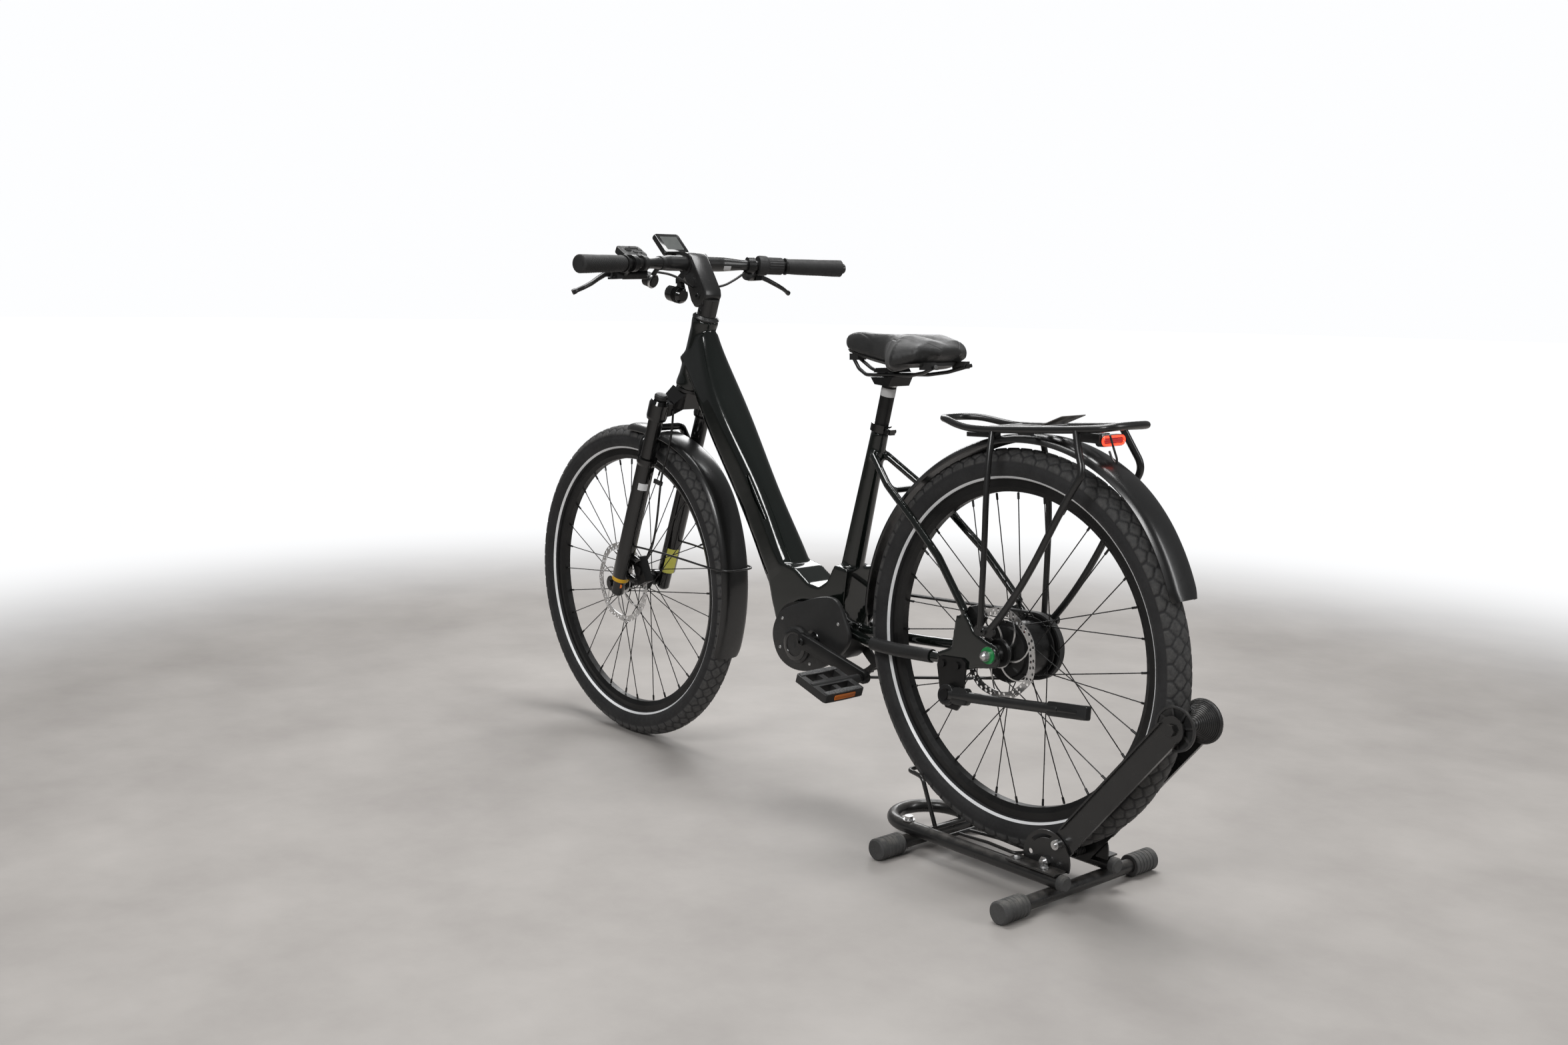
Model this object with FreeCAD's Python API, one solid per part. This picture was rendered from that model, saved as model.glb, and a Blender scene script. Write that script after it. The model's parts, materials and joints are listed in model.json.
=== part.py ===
import FreeCAD, Part
import math
import os

# Electric trekking bicycle held by its rear wheel in a floor stand. Millimetres, +X forward, +Y left, +Z up.
# Bicycle pieces are drawn level, with both hubs at the same height, then pitched by place_bike.
# Stand pieces are drawn on the floor at z = 0. Both drawings put the rear hub at x = 0.

V = FreeCAD.Vector

# wheels
WHEEL_R = 350.0
TYRE_R = 29.6
WHEELBASE = 1128.0
RIM_IN_R = 275.0
RIM_OUT_R = 298.0
RIM_HALF_W = 12.0
SPOKES = 32
REAR_HUB = (0.0, 350.0)
FRONT_HUB = (WHEELBASE, 350.0)
REAR_ROTOR_R = 80.0
FRONT_ROTOR_R = 90.0
REAR_ROTOR_Y = 50.0
FRONT_ROTOR_Y = 35.0
ROTOR_T = 1.8

# placing
REAR_LIFT = 52.0
ORIGIN_X = 542.4
PITCH = math.degrees(math.asin(REAR_LIFT / WHEELBASE))

# steering axis and fork
HEAD_ANGLE = math.radians(67.9)
STEER_X = 1092.5
HEAD_LOW = 473.0
HEAD_TOP = 627.5
LEG_Y = 63.0
LEG_F = 10.0
HUB_S = -13.3
HUB_F = 33.0
STANCHION_R = 16.0

# drive
CRANK = (460.0, 313.0)
CRANK_LEN = 172.0
CRANK_TURN = math.radians(195.0)
AXLE_R = 12.0
BELT_Y = (-51.0, -39.0)
BELT_FRONT_R = 87.5
BELT_REAR_R = 56.0
BELT_T = 4.0

# seat
SEAT_TOP = (339.0, 716.0)
SEAT_LOW = (430.0, 410.0)
POST_R = 13.6

# handlebar
BAR_CENTRE = (894.0, 0.0, 1046.0)
BAR_BEND = (892.0, 70.0, 1046.0)
BAR_END = (806.0, 345.0, 1037.0)
BAR_R = 11.1

# stand
TUBE_R = 12.5
TUBE_Z = 44.9
CROSS_Z = 19.5
SIDE_Y = 69.0
ARM_PIVOT = (-123.0, 66.0)
ROLLER = (-355.0, 346.0)

FIT = 0.1
GAP = 0.3


def cyl(a, b, r):
    d = V(*b) - V(*a)
    return Part.makeCylinder(r, d.Length, V(*a), d)


def cone(a, b, ra, rb):
    d = V(*b) - V(*a)
    return Part.makeCone(ra, rb, d.Length, V(*a), d)


def ring(a, b, ro, ri):
    return cyl(a, b, ro).cut(cyl(a, b, ri))


def ycyl(centre, r, y0, y1):
    return cyl((centre[0], y0, centre[1]), (centre[0], y1, centre[1]), r)


def box(x, y, z):
    return Part.makeBox(x[1] - x[0], y[1] - y[0], z[1] - z[0], V(x[0], y[0], z[0]))


def prism(outline, y0, y1):
    wire = Part.makePolygon([V(x, y0, z) for x, z in outline + outline[:1]])
    return Part.Face(wire).extrude(V(0, y1 - y0, 0))


def link(a, b, ra, rb, y0, y1):
    """Flat link in the XZ plane with round ends of radius ra at a and rb at b."""
    dx, dz = b[0] - a[0], b[1] - a[1]
    n = math.hypot(dx, dz)
    ux, uz = -dz / n, dx / n
    body = prism([(a[0] + ux * ra, a[1] + uz * ra), (b[0] + ux * rb, b[1] + uz * rb),
                  (b[0] - ux * rb, b[1] - uz * rb), (a[0] - ux * ra, a[1] - uz * ra)], y0, y1)
    return body.fuse([ycyl(a, ra, y0, y1), ycyl(b, rb, y0, y1)])


def lathe(profile, centre):
    """Solid of revolution about the Y line through centre; profile is (radius, y) points."""
    x, z = centre
    points = [V(x, y, z + r) for r, y in profile]
    face = Part.Face(Part.makePolygon(points + points[:1]))
    return face.revolve(V(x, 0, z), V(0, 1, 0), 360)


def turned(profile, a, b):
    """Solid of revolution about the line from a to b; profile is (radius, distance from a) points."""
    points = [V(r, 0, h) for r, h in profile]
    solid = Part.Face(Part.makePolygon(points + points[:1])).revolve(V(0, 0, 0), V(0, 0, 1), 360)
    turn = FreeCAD.Rotation(V(0, 0, 1), V(*b) - V(*a))
    return solid.transformGeometry(FreeCAD.Placement(V(*a), turn).toMatrix())


def route(points, largest=None):
    """Straight runs joined by tangent arcs, and the arcs' radii."""
    pts = [V(*p) for p in points]
    edges = []
    radii = []
    start = pts[0]
    for before, corner, after in zip(pts, pts[1:], pts[2:]):
        back = (before - corner).normalize()
        ahead = (after - corner).normalize()
        half_turn = (math.pi - back.getAngle(ahead)) / 2
        if half_turn < 1e-4:
            continue
        shorter = min(before.distanceToPoint(corner), after.distanceToPoint(corner))
        radius = 0.45 * shorter / math.tan(half_turn)
        if largest:
            radius = min(radius, largest)
        trim = radius * math.tan(half_turn)
        inward = (back + ahead).normalize()
        middle = corner + inward * (radius / math.cos(half_turn) - radius)
        enter = corner + back * trim
        leave = corner + ahead * trim
        edges.append(Part.LineSegment(start, enter).toShape())
        edges.append(Part.Arc(enter, middle, leave).toShape())
        radii.append(round(radius, 1))
        start = leave
    edges.append(Part.LineSegment(start, pts[-1]).toShape())
    return Part.Wire(edges), radii


def pipe(points, r, largest=None):
    wire, _ = route(points, largest)
    first = V(*points[0])
    section = Part.Wire([Part.Circle(first, V(*points[1]) - first, r).toShape()])
    return Part.Solid(wire.makePipeShell([section], True, False))


def cord(name, points, r):
    wire, radii = route(points)
    solid = pipe(points, r)
    expected = math.pi * r * r * wire.Length
    print(name, "length", round(wire.Length, 1), "radii", radii, "volume ratio",
          round(solid.Volume / expected, 4))
    return solid


def rounded_section(centre, across, half_a, half_b, corner):
    """Rounded rectangle: half_a along across (in XZ), half_b along Y, as a closed wire."""
    u = V(across[0], 0, across[1])
    v = V(0, 1, 0)
    c = V(*centre)
    edges = []
    corners = [(1, 1), (-1, 1), (-1, -1), (1, -1)]
    k = corner * (1 - math.sqrt(0.5))
    ends = []
    for i, (a, b) in enumerate(corners):
        along_u = c + u * (a * (half_a - corner)) + v * (b * half_b)
        along_v = c + u * (a * half_a) + v * (b * (half_b - corner))
        mid = c + u * (a * (half_a - k)) + v * (b * (half_b - k))
        pair = (along_v, along_u) if i % 2 == 0 else (along_u, along_v)
        ends.append((pair[0], mid, pair[1]))
    for i, (enter, mid, leave) in enumerate(ends):
        edges.append(Part.Arc(enter, mid, leave).toShape())
        edges.append(Part.LineSegment(leave, ends[(i + 1) % 4][0]).toShape())
    return Part.Wire(edges)


def blade(centre, angles, radii, y0, y1, low, high):
    """Curved strip about a hub, from radius + low to radius + high, over angles in degrees."""
    def curve(offset):
        spline = Part.BSplineCurve()
        spline.interpolate([V(centre[0] + (r + offset) * math.cos(math.radians(a)), y0,
                              centre[1] + (r + offset) * math.sin(math.radians(a)))
                            for a, r in zip(angles, radii)])
        return spline
    inner, outer = curve(low), curve(high)
    edges = [inner.toShape(), Part.LineSegment(inner.EndPoint, outer.EndPoint).toShape(), outer.toShape(),
             Part.LineSegment(outer.StartPoint, inner.StartPoint).toShape()]
    return Part.Face(Part.Wire(Part.__sortEdges__(edges))).extrude(V(0, y1 - y0, 0))


def mirrored(shape):
    return shape.mirror(V(0, 0, 0), V(0, 1, 0))


def both(shape):
    return [shape, mirrored(shape)]


def joined(shapes):
    return shapes[0].fuse(shapes[1:]).removeSplitter()


def on_steer(s, y=0.0, f=0.0):
    """Point s along the steering axis above hub height, y to the left, f forward of the axis."""
    c, n = math.cos(HEAD_ANGLE), math.sin(HEAD_ANGLE)
    return (STEER_X - c * s + n * f, y, 350.0 + n * s + c * f)


def on_bar(y):
    """Point of the handlebar's straight outer part at y; the right side mirrors the left."""
    t = (abs(y) - BAR_BEND[1]) / (BAR_END[1] - BAR_BEND[1])
    return (BAR_BEND[0] + t * (BAR_END[0] - BAR_BEND[0]), y, BAR_BEND[2] + t * (BAR_END[2] - BAR_BEND[2]))


def save(name, solids, placed):
    shape = solids[0] if len(solids) == 1 else Part.makeCompound(solids)
    shape = placed(shape)
    count = len(shape.Solids)
    print(name, "solids", count, "valid", shape.isValid(), "volume", round(shape.Volume))
    shape.exportStep("parts/" + name + ".step")


def place_bike(shape):
    out = shape.copy()
    out.rotate(V(0, 0, REAR_HUB[1]), V(0, 1, 0), PITCH)
    out.translate(V(-ORIGIN_X, 0, REAR_LIFT))
    return out


def place_stand(shape):
    out = shape.copy()
    out.translate(V(-ORIGIN_X, 0, 0))
    return out


# ------------------------------------------------------------------ stand

def u_tube(r):
    x0, xc = -168.0, 195.0
    edges = [Part.LineSegment(V(x0, SIDE_Y, TUBE_Z), V(xc, SIDE_Y, TUBE_Z)).toShape(),
             Part.Arc(V(xc, SIDE_Y, TUBE_Z), V(xc + SIDE_Y, 0, TUBE_Z), V(xc, -SIDE_Y, TUBE_Z)).toShape(),
             Part.LineSegment(V(xc, -SIDE_Y, TUBE_Z), V(x0, -SIDE_Y, TUBE_Z)).toShape()]
    section = Part.Wire([Part.Circle(V(x0, SIDE_Y, TUBE_Z), V(1, 0, 0), r).toShape()])
    return Part.Solid(Part.Wire(edges).makePipeShell([section], True, False))


CROSS_TUBES = {185.0: 148.0, -150.0: 198.0}
BOLT_R = 4.0
FLANGE_Z = (TUBE_Z + TUBE_R + FIT, TUBE_Z + TUBE_R + FIT + 3.0)


def stand_tubes():
    u = u_tube(TUBE_R).cut(u_tube(TUBE_R - 1.6))
    crosses = [ring((x, -half, CROSS_Z), (x, half, CROSS_Z), TUBE_R, TUBE_R - 1.6)
               for x, half in CROSS_TUBES.items()]
    holes = [cyl((185.0, s * SIDE_Y, 0), (185.0, s * SIDE_Y, 90), BOLT_R + FIT) for s in (-1, 1)]
    holes += [cyl((x, s * SIDE_Y, 40), (x, s * SIDE_Y, 90), BOLT_R + FIT) for s in (-1, 1)
              for x in (-73.0, -133.0)]
    return [shape.cut(holes) for shape in [u] + crosses]


def stand_end_caps():
    caps = []
    for x, half in CROSS_TUBES.items():
        long = 58.0
        sleeve = [(TUBE_R + FIT, 0), (19.0, 0), (20.0, 2)]
        for i in range(5):
            y = 6.0 + 9.0 * i
            sleeve += [(20.0, y), (19.0, y + 1), (19.0, y + 3), (20.0, y + 4)]
        sleeve += [(20.0, long), (17.0, long + 3), (0, long + 3), (0, long - 2), (TUBE_R + FIT, long - 2)]
        cap = turned(sleeve, (x, half - long + 2.5, CROSS_Z), (x, half + 10, CROSS_Z))
        cap = cap.cut(box((x - 30, x + 30), (0, half + 20), (-30, 0)))
        caps += both(cap)
    plug = turned([(0, -14), (11.0, -14), (13.8, -11), (13.8, -0.2), (10.7, -0.2), (10.7, 22), (0, 22)],
                  (-168.0, SIDE_Y, TUBE_Z), (-100.0, SIDE_Y, TUBE_Z))
    return caps + both(plug)


def stand_brackets():
    centre = (ARM_PIVOT[0], 70.0)
    y0, y1 = 50.0, 53.0
    plate = ycyl(centre, 50.0, y0, y1).cut(box((-200, 0), (0, 90), (-10, FLANGE_Z[0])))
    flange = box((-167.0, -60.0), (y0, 84.0), FLANGE_Z)
    flange = flange.cut([cyl((x, SIDE_Y, 40), (x, SIDE_Y, 90), BOLT_R + FIT) for x in (-73.0, -133.0)])
    angle = plate.fuse(flange).removeSplitter()
    outer = [(centre[0] + 43 * math.cos(math.radians(a)), centre[1] + 43 * math.sin(math.radians(a)))
             for a in range(40, 105, 8)]
    inner = [(centre[0] + 36 * math.cos(math.radians(a)), centre[1] + 36 * math.sin(math.radians(a)))
             for a in range(96, 39, -8)]
    cuts = [prism(outer + inner, y0 - 1, y1 + 1), ycyl(ARM_PIVOT, 5.0 + FIT, y0 - 1, y1 + 1),
            ycyl(ARM_PIVOT, 11.5, y1 + FIT, 62.0),
            ycyl((-88.0, 74.0), 5.0, y0 - 1, y1 + 1), ycyl((-150.0, 104.0), 4.0 + FIT, y0 - 1, y1 + 1)]
    return both(angle.cut(cuts))


def stand_wheel_guide():
    hoop = pipe([(152, 34, 46), (188, 34, 131), (236, 22, 131), (236, -22, 131), (188, -34, 131),
                 (152, -34, 46)], 4.0, 15.0)
    feet = cyl((150, -56.2, 44), (150, 56.2, 44), 4.0)
    rod = cyl((113, -56.2, 40), (113, 56.2, 40), 4.0)
    loop = pipe([(113, 14, 40), (40, 16, 44), (-20, 16, 42), (-32, 0, 42), (-20, -16, 42), (40, -16, 44),
                 (113, -14, 40)], 3.0, 14.0)
    return [joined([hoop, feet]), joined([rod, loop])]


def hex_head(x, y, z, across, y1):
    points = [(x + across / math.sqrt(3) * math.cos(math.radians(a)),
               z + across / math.sqrt(3) * math.sin(math.radians(a)))
              for a in range(0, 360, 60)]
    return prism(points, min(y, y1), max(y, y1))


def stand_fasteners():
    axle = ycyl(ARM_PIVOT, 5.0, -66.0, 66.0)
    heads = both(hex_head(ARM_PIVOT[0], 53.2, ARM_PIVOT[1], 17.0, 60.0))
    solids = [joined([axle] + heads)]
    for s in (-1, 1):
        through = cyl((185.0, s * SIDE_Y, 3.5), (185.0, s * SIDE_Y, 64.0), BOLT_R)
        washer = ring((185.0, s * SIDE_Y, 57.6), (185.0, s * SIDE_Y, 59.6), 11.0, BOLT_R)
        nut = cyl((185.0, s * SIDE_Y, 59.6), (185.0, s * SIDE_Y, 66.0), 7.5)
        solids.append(joined([through, washer, nut]))
        for x in (-73.0, -133.0):
            shank = cyl((x, s * SIDE_Y, 42), (x, s * SIDE_Y, FLANGE_Z[1] + 1), BOLT_R)
            dome = turned([(0, 0), (8.0, 0), (8.0, 1.5), (5.5, 4.0), (0, 5.0)],
                          (x, s * SIDE_Y, FLANGE_Z[1] + FIT),
                          (x, s * SIDE_Y, 90))
            solids.append(joined([shank, dome]))
    spacer = joined([ycyl((-150.0, 104.0), 4.0, 49.6, 70.0), ycyl((-150.0, 104.0), 8.0, 53.1, 66.0)])
    return solids + both(spacer)


def stand_spring():
    turns, pitch, wire_r, coil_r = 6.0, 4.0, 1.5, 9.0
    helix = Part.makeHelix(pitch, pitch * turns, coil_r)
    start = V(coil_r, 0, 0)
    section = Part.Wire([Part.Circle(start, V(0, 1, pitch / (2 * math.pi * coil_r)), wire_r).toShape()])
    coil = Part.Solid(Part.Wire(helix).makePipeShell([section], True, True))
    coil.rotate(V(0, 0, 0), V(1, 0, 0), 90)
    coil.translate(V(ARM_PIVOT[0], -17.5, ARM_PIVOT[1]))
    return [coil]


def stand_arm():
    dx, dz = ROLLER[0] - ARM_PIVOT[0], ROLLER[1] - ARM_PIVOT[1]
    long = math.hypot(dx, dz)
    ux, uz = dx / long, dz / long
    y0, y1, half = 45.0, 48.0, 22.0
    plate = link(ARM_PIVOT, ROLLER, half, half, y0, y1).cut(ycyl(ARM_PIVOT, 5.0 + FIT, y0 - 1, y1 + 1))
    lips = []
    for side in (-1, 1):
        a = (ARM_PIVOT[0] + ux * 64 + uz * side * (half - 1.5),
             ARM_PIVOT[1] + uz * 64 - ux * side * (half - 1.5))
        b = (ARM_PIVOT[0] + ux * (long - 8) + uz * side * (half - 1.5),
             ARM_PIVOT[1] + uz * (long - 8) - ux * side * (half - 1.5))
        lips.append(link(a, b, 1.5, 1.5, y1 - 0.5, 53.0))
    side_plate = joined([plate] + lips)
    axle = ycyl(ROLLER, 5.0, -54.0, 54.0)
    heads = both(hex_head(ROLLER[0], 48.0, ROLLER[1], 17.0, 55.0))
    return [joined(both(side_plate) + [axle] + heads)]


def stand_roller():
    half = [(9.0, 4.0), (10.3, 10.0), (15.6, 19.5), (22.0, 25.0), (30.0, 29.5), (37.0, 34.5), (37.0, 38.5),
            (33.0, 38.5), (33.0, 36.5), (13.0, 30.0), (13.0, 41.0), (5.0 + FIT, 41.0)]
    profile = [(r, -y) for r, y in reversed(half)] + half
    return [lathe(profile, ROLLER)]


# ------------------------------------------------------------------ frame

TUBE_BASE = (627.0, 466.0)
TUBE_DIR = (0.5296, 0.8482)
TUBE_OUT = (0.8482, -0.5296)


def on_down_tube(t, e=0.0):
    """Point of the down tube's middle plane, t up along it and e towards its lower, front face."""
    return (TUBE_BASE[0] + TUBE_DIR[0] * t + TUBE_OUT[0] * e,
            TUBE_BASE[1] + TUBE_DIR[1] * t + TUBE_OUT[1] * e)


def down_tube():
    stations = [(-62.0, 2.0, 42.0, 36.0, 22.0), (0.0, 0.0, 40.5, 38.0, 24.0), (210.0, 0.0, 40.0, 38.0, 24.0),
                (400.0, 0.0, 42.0, 36.0, 24.0), (450.0, 0.0, 48.0, 29.0, 22.0),
                (482.0, 0.0, 54.0, 25.0, 20.0)]
    wires = []
    for t, shift, half_a, half_b, corner in stations:
        x, z = on_down_tube(t, shift)
        wires.append(rounded_section((x, 0, z), TUBE_OUT, half_a, half_b, corner))
    return Part.makeLoft(wires, True, False)


def tube_box(t, e, y):
    corners = [on_down_tube(t[0], e[0]), on_down_tube(t[1], e[0]), on_down_tube(t[1], e[1]),
               on_down_tube(t[0], e[1])]
    return prism(corners, y[0], y[1])


COVER_T = (-38.0, 388.0)
CRADLE_Y = 37.0
MOTOR = (516.0, 312.0)


def motor_room(grow):
    return ycyl(MOTOR, 66.0 + grow, -80, 80).fuse(ycyl(CRANK, 47.0 + grow, -80, 80))


def head_tube():
    return turned([(23.0, 0), (31.0, 0), (31.0, 10), (28.5, 26), (26.5, 80), (26.5, HEAD_TOP - HEAD_LOW - 22),
                   (28.0, HEAD_TOP - HEAD_LOW - 8), (28.0, HEAD_TOP - HEAD_LOW), (23.0, HEAD_TOP - HEAD_LOW)],
                  on_steer(HEAD_LOW), on_steer(HEAD_TOP))


def seat_tube():
    low = (SEAT_LOW[0], 0, SEAT_LOW[1])
    top = (SEAT_TOP[0], 0, SEAT_TOP[1])
    return cone(low, top, 23.0, 16.5)


def cradle():
    outline = [(394, 452), (430, 458), (452, 424), (476, 410), (505, 414), (545, 440), (600, 452),
               (630, 433), (616, 370), (600, 322),
               (590, 296), (560, 300), (440, 300), (416, 300), (410, 360), (402, 410)]
    return prism(outline, -CRADLE_Y, CRADLE_Y)


def main_frame():
    steer_bore = cyl(on_steer(HEAD_LOW - 30), on_steer(HEAD_TOP + 30), 23.0)
    low, top = V(SEAT_LOW[0], 0, SEAT_LOW[1]), V(SEAT_TOP[0], 0, SEAT_TOP[1])
    up = (top - low).normalize()
    post_bore = cyl(tuple(top - up * 200), tuple(top + up * 20), POST_R + FIT)
    shape = joined([down_tube(), head_tube(), seat_tube(), cradle()])
    battery_room = tube_box((COVER_T[0] + 6, COVER_T[1] - 6), (-28.0, 60.0), (-32.0, 32.0))
    cover_room = tube_box(COVER_T, (24.0, 70.0), (-60.0, 60.0))
    return [shape.cut([steer_bore, post_bore, battery_room, cover_room, motor_room(0.5)])]


def battery():
    pack = tube_box((COVER_T[0] + 8, COVER_T[1] - 8), (-26.0, 22.0), (-30.0, 30.0))
    pack = pack.makeFillet(6.0, pack.Edges)
    cover = down_tube().common(tube_box((COVER_T[0] + 0.4, COVER_T[1] - 0.4), (24.4, 70.0), (-60.0, 60.0)))
    cover = cover.cut([motor_room(0.5), tube_box((-90, 30), (24, 70), (-60, 60)).common(cradle())])
    return [pack, cover]


def stay_path(side):
    return [(409, side * 18, 328), (384, side * 22, 326), (336, side * 40.5, 322), (250, side * 52, 321),
            (120, side * 62, 326), (60, side * 66, 334)]


def chainstay(side, r):
    return pipe(stay_path(side), r)


DROP_Y = (68.0, 76.0)


def dropout():
    outline = [(-22, 344), (-16, 330), (0, 326), (30, 322), (66, 312), (118, 314), (124, 338), (90, 352),
               (78, 410), (52, 412),
               (36, 386), (10, 374), (-16, 366)]
    plate = prism(outline, DROP_Y[0], DROP_Y[1])
    return plate.cut(ycyl(REAR_HUB, 5.0 + FIT, 60, 90))


def rear_triangle(frame):
    solids = []
    for side in (-1, 1):
        solids.append(chainstay(side, 10.0))
        solids.append(pipe([(342, side * 16, 672), (280, side * 40, 621), (205, side * 52, 566),
                            (134, side * 60, 505),
                            (58, side * 72.5, 416)], 7.5, 60.0))
        solids.append(dropout() if side > 0 else mirrored(dropout()))
    bridge = cyl((268, -41, 612), (268, 41, 612), 6.0)
    shape = joined(solids + [bridge])
    trim = [frame, seat_tube(), ycyl(REAR_HUB, 5.0 + FIT, -90, 90)]
    return [shape.cut(trim)]


def motor_unit():
    wide = ycyl(MOTOR, 66.0, -34.0, 56.0).fuse(ycyl(CRANK, 47.0, -34.0, 56.0))
    neck = ycyl(CRANK, 26.0, -37.0, -34.0)
    return [joined([wide, neck]).cut(ycyl(CRANK, AXLE_R + FIT, -90, 90))]


def frame_covers():
    outline = [(398, 394), (440, 392), (506, 372), (560, 352), (576, 312), (560, 270), (516, 250),
               (455, 258), (400, 286),
               (366, 322), (376, 356)]
    plate = prism(outline, 56.3, 66.0)
    rim = plate.makeFillet(4.0, [e for e in plate.Edges if e.BoundBox.YMin > 65.9])
    rim = rim.cut(ycyl(CRANK, 18.0, 50, 80))
    cap = lathe([(0, 66.2), (36.0, 66.2), (36.0, 71.0), (32.0, 74.5), (0, 76.0)], (504.0, 298.0))
    cap = cap.cut(ycyl(CRANK, 20.0, 50, 90))
    guard = chainstay(1, 12.4).common(box((150, 318), (0, 100), (280, 360))).cut(chainstay(1, 10.2))
    return [rim, cap, guard]


def headset_cups():
    lower = ring(on_steer(HEAD_LOW - 6.5), on_steer(HEAD_LOW - 0.1), 29.0, 15.0)
    upper = turned([(15.0, 0), (28.0, 0), (28.0, 3), (22.0, 8), (15.0, 8)], on_steer(HEAD_TOP + 0.1),
                   on_steer(HEAD_TOP + 20))
    return [lower, upper]


def seat_axis(d):
    """Point d above the seat tube's top, along the seat tube."""
    low, top = V(SEAT_LOW[0], 0, SEAT_LOW[1]), V(SEAT_TOP[0], 0, SEAT_TOP[1])
    p = top + (top - low).normalize() * d
    return (p.x, 0.0, p.z)


def seat_clamp():
    collar = ring(seat_axis(0.1), seat_axis(15.0), 19.5, POST_R + GAP)
    lug = box((-32.0, -17.0), (-7.0, 7.0), (2.0, 13.0))
    lug.rotate(V(0, 0, 0), V(0, 1, 0), -16.6)
    lug.translate(V(*seat_axis(0)))
    bolt = cyl((-26.0, -11.0, 7.5), (-26.0, 11.0, 7.5), 4.5)
    bolt.rotate(V(0, 0, 0), V(0, 1, 0), -16.6)
    bolt.translate(V(*seat_axis(0)))
    core = cyl(seat_axis(-1), seat_axis(20), POST_R + GAP)
    return [joined([collar, lug, bolt]).cut(core)]


def belt_loop(grow, y0, y1):
    (xa, za), (xb, zb) = REAR_HUB, CRANK
    ra, rb = BELT_REAR_R + grow, BELT_FRONT_R + grow
    span = math.hypot(xb - xa, zb - za)
    tilt = math.atan2(zb - za, xb - xa)
    lean = math.acos((ra - rb) / span)
    quad = [(xa + ra * math.cos(tilt + lean), za + ra * math.sin(tilt + lean)),
            (xb + rb * math.cos(tilt + lean), zb + rb * math.sin(tilt + lean)),
            (xb + rb * math.cos(tilt - lean), zb + rb * math.sin(tilt - lean)),
            (xa + ra * math.cos(tilt - lean), za + ra * math.sin(tilt - lean))]
    return joined([prism(quad, y0, y1), ycyl(REAR_HUB, ra, y0, y1), ycyl(CRANK, rb, y0, y1)])


def drive_belt():
    return [belt_loop(BELT_T, BELT_Y[0], BELT_Y[1]).cut(belt_loop(0.0, BELT_Y[0] - 1, BELT_Y[1] + 1))]


REAR_GUARD = ([3, 28, 59, 80, 98, 118, 140, 160], [357, 360, 357, 367, 377, 387, 386, 366])
FRONT_GUARD = ([94, 104, 121, 140, 158, 180, 202], [354, 356, 375, 392, 375, 360, 352])


def mudguard(centre, guard, half_w):
    angles, radii = guard
    top = blade(centre, angles, radii, -half_w, half_w, -1.2, 1.2)
    lips = [blade(centre, angles, radii, y, y + 2.0, -9.0, 1.2) for y in (-half_w, half_w - 2.0)]
    return joined([top] + lips)


def rear_mudguard():
    shape = mudguard(REAR_HUB, REAR_GUARD, 34.0)
    tab = box((-14, 14), (-12, 12), (722.5, 731.0))
    return [joined([shape, tab]).cut(cyl((268, -60, 612), (268, 60, 612), 6.3))]


RACK_Y = 60.0


def rack():
    half = pipe([(170, 0, 746), (168, 46, 745), (120, RACK_Y, 739), (50, RACK_Y, 733), (-150, RACK_Y, 738),
                 (-262, RACK_Y, 749), (-304, 50, 757), (-312, 0, 759)], 5.0, 40.0)
    front_stay = pipe([(8, RACK_Y, 734), (2, 74, 690), (4, 84, 560), (14, 84, 396)], 4.5, 60.0)
    rear_stay = pipe([(-172, RACK_Y, 739), (-192, 74, 690), (-182, 82, 655), (-66, 84, 455), (-8, 84, 396)],
                     4.5, 60.0)
    foot = link((-10, 392), (16, 392), 9.0, 9.0, 81.0, 88.0)
    side = joined([half, front_stay, rear_stay, foot])
    bars = [cyl((x, -RACK_Y, z), (x, RACK_Y, z), 4.0) for x, z in ((40, 734), (-60, 736), (-160, 739))]
    deck = box((-160, 40), (-14, 14), (732, 736))
    deck.rotate(V(0, 0, 735), V(0, 1, 0), 1.4)
    tail = prism([(-120, 736), (-176, 738), (-181, 712), (-152, 709.5), (-124, 726)], -6.0, 6.0)
    solid = joined(both(side) + bars + [deck, tail])
    bolts = [joined([cyl((3, s * 76.3, 392), (3, s * 92.0, 392), 3.5),
                     cyl((3, s * 88.1, 392), (3, s * 92.0, 392), 6.5)])
             for s in (-1, 1)]
    return [solid.cut(bolts)] + bolts


def tail_light():
    lamp = box((-216, -196), (-30, 30), (706, 736))
    ends = [cyl((-216, s * 30, 721), (-196, s * 30, 721), 15.0) for s in (-1, 1)]
    neck = box((-196.5, -181.5), (-8, 8), (714, 730))
    return [joined([lamp, neck] + ends)]


def caliper(centre, hub, rotor_y, rotor_r, size, reach, bump):
    """Brake caliper that straddles a rotor; reach is its depth inboard and outboard of the rotor."""
    angle = math.degrees(math.atan2(centre[1] - hub[1], centre[0] - hub[0]))
    body = box((-size[0] / 2, size[0] / 2), (rotor_y - reach[0], rotor_y + reach[1]),
               (-size[1] / 2, size[1] / 2))
    body = body.makeFillet(5.0, [e for e in body.Edges if e.BoundBox.YLength > 10])
    body.rotate(V(0, 0, 0), V(0, 1, 0), 90 - angle)
    body.translate(V(centre[0], 0, centre[1]))
    slot = lathe([(0, rotor_y - 1.7), (rotor_r + 1.5, rotor_y - 1.7), (rotor_r + 1.5, rotor_y + 1.7),
                  (0, rotor_y + 1.7)], hub)
    piston = ycyl(centre, 11.0, rotor_y + reach[1] - 1.0, rotor_y + reach[1] + bump)
    return body.fuse(piston).cut(slot)


REAR_CALIPER = (62.0, 397.0)
FRONT_CALIPER = (1050.0, 384.0)


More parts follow.
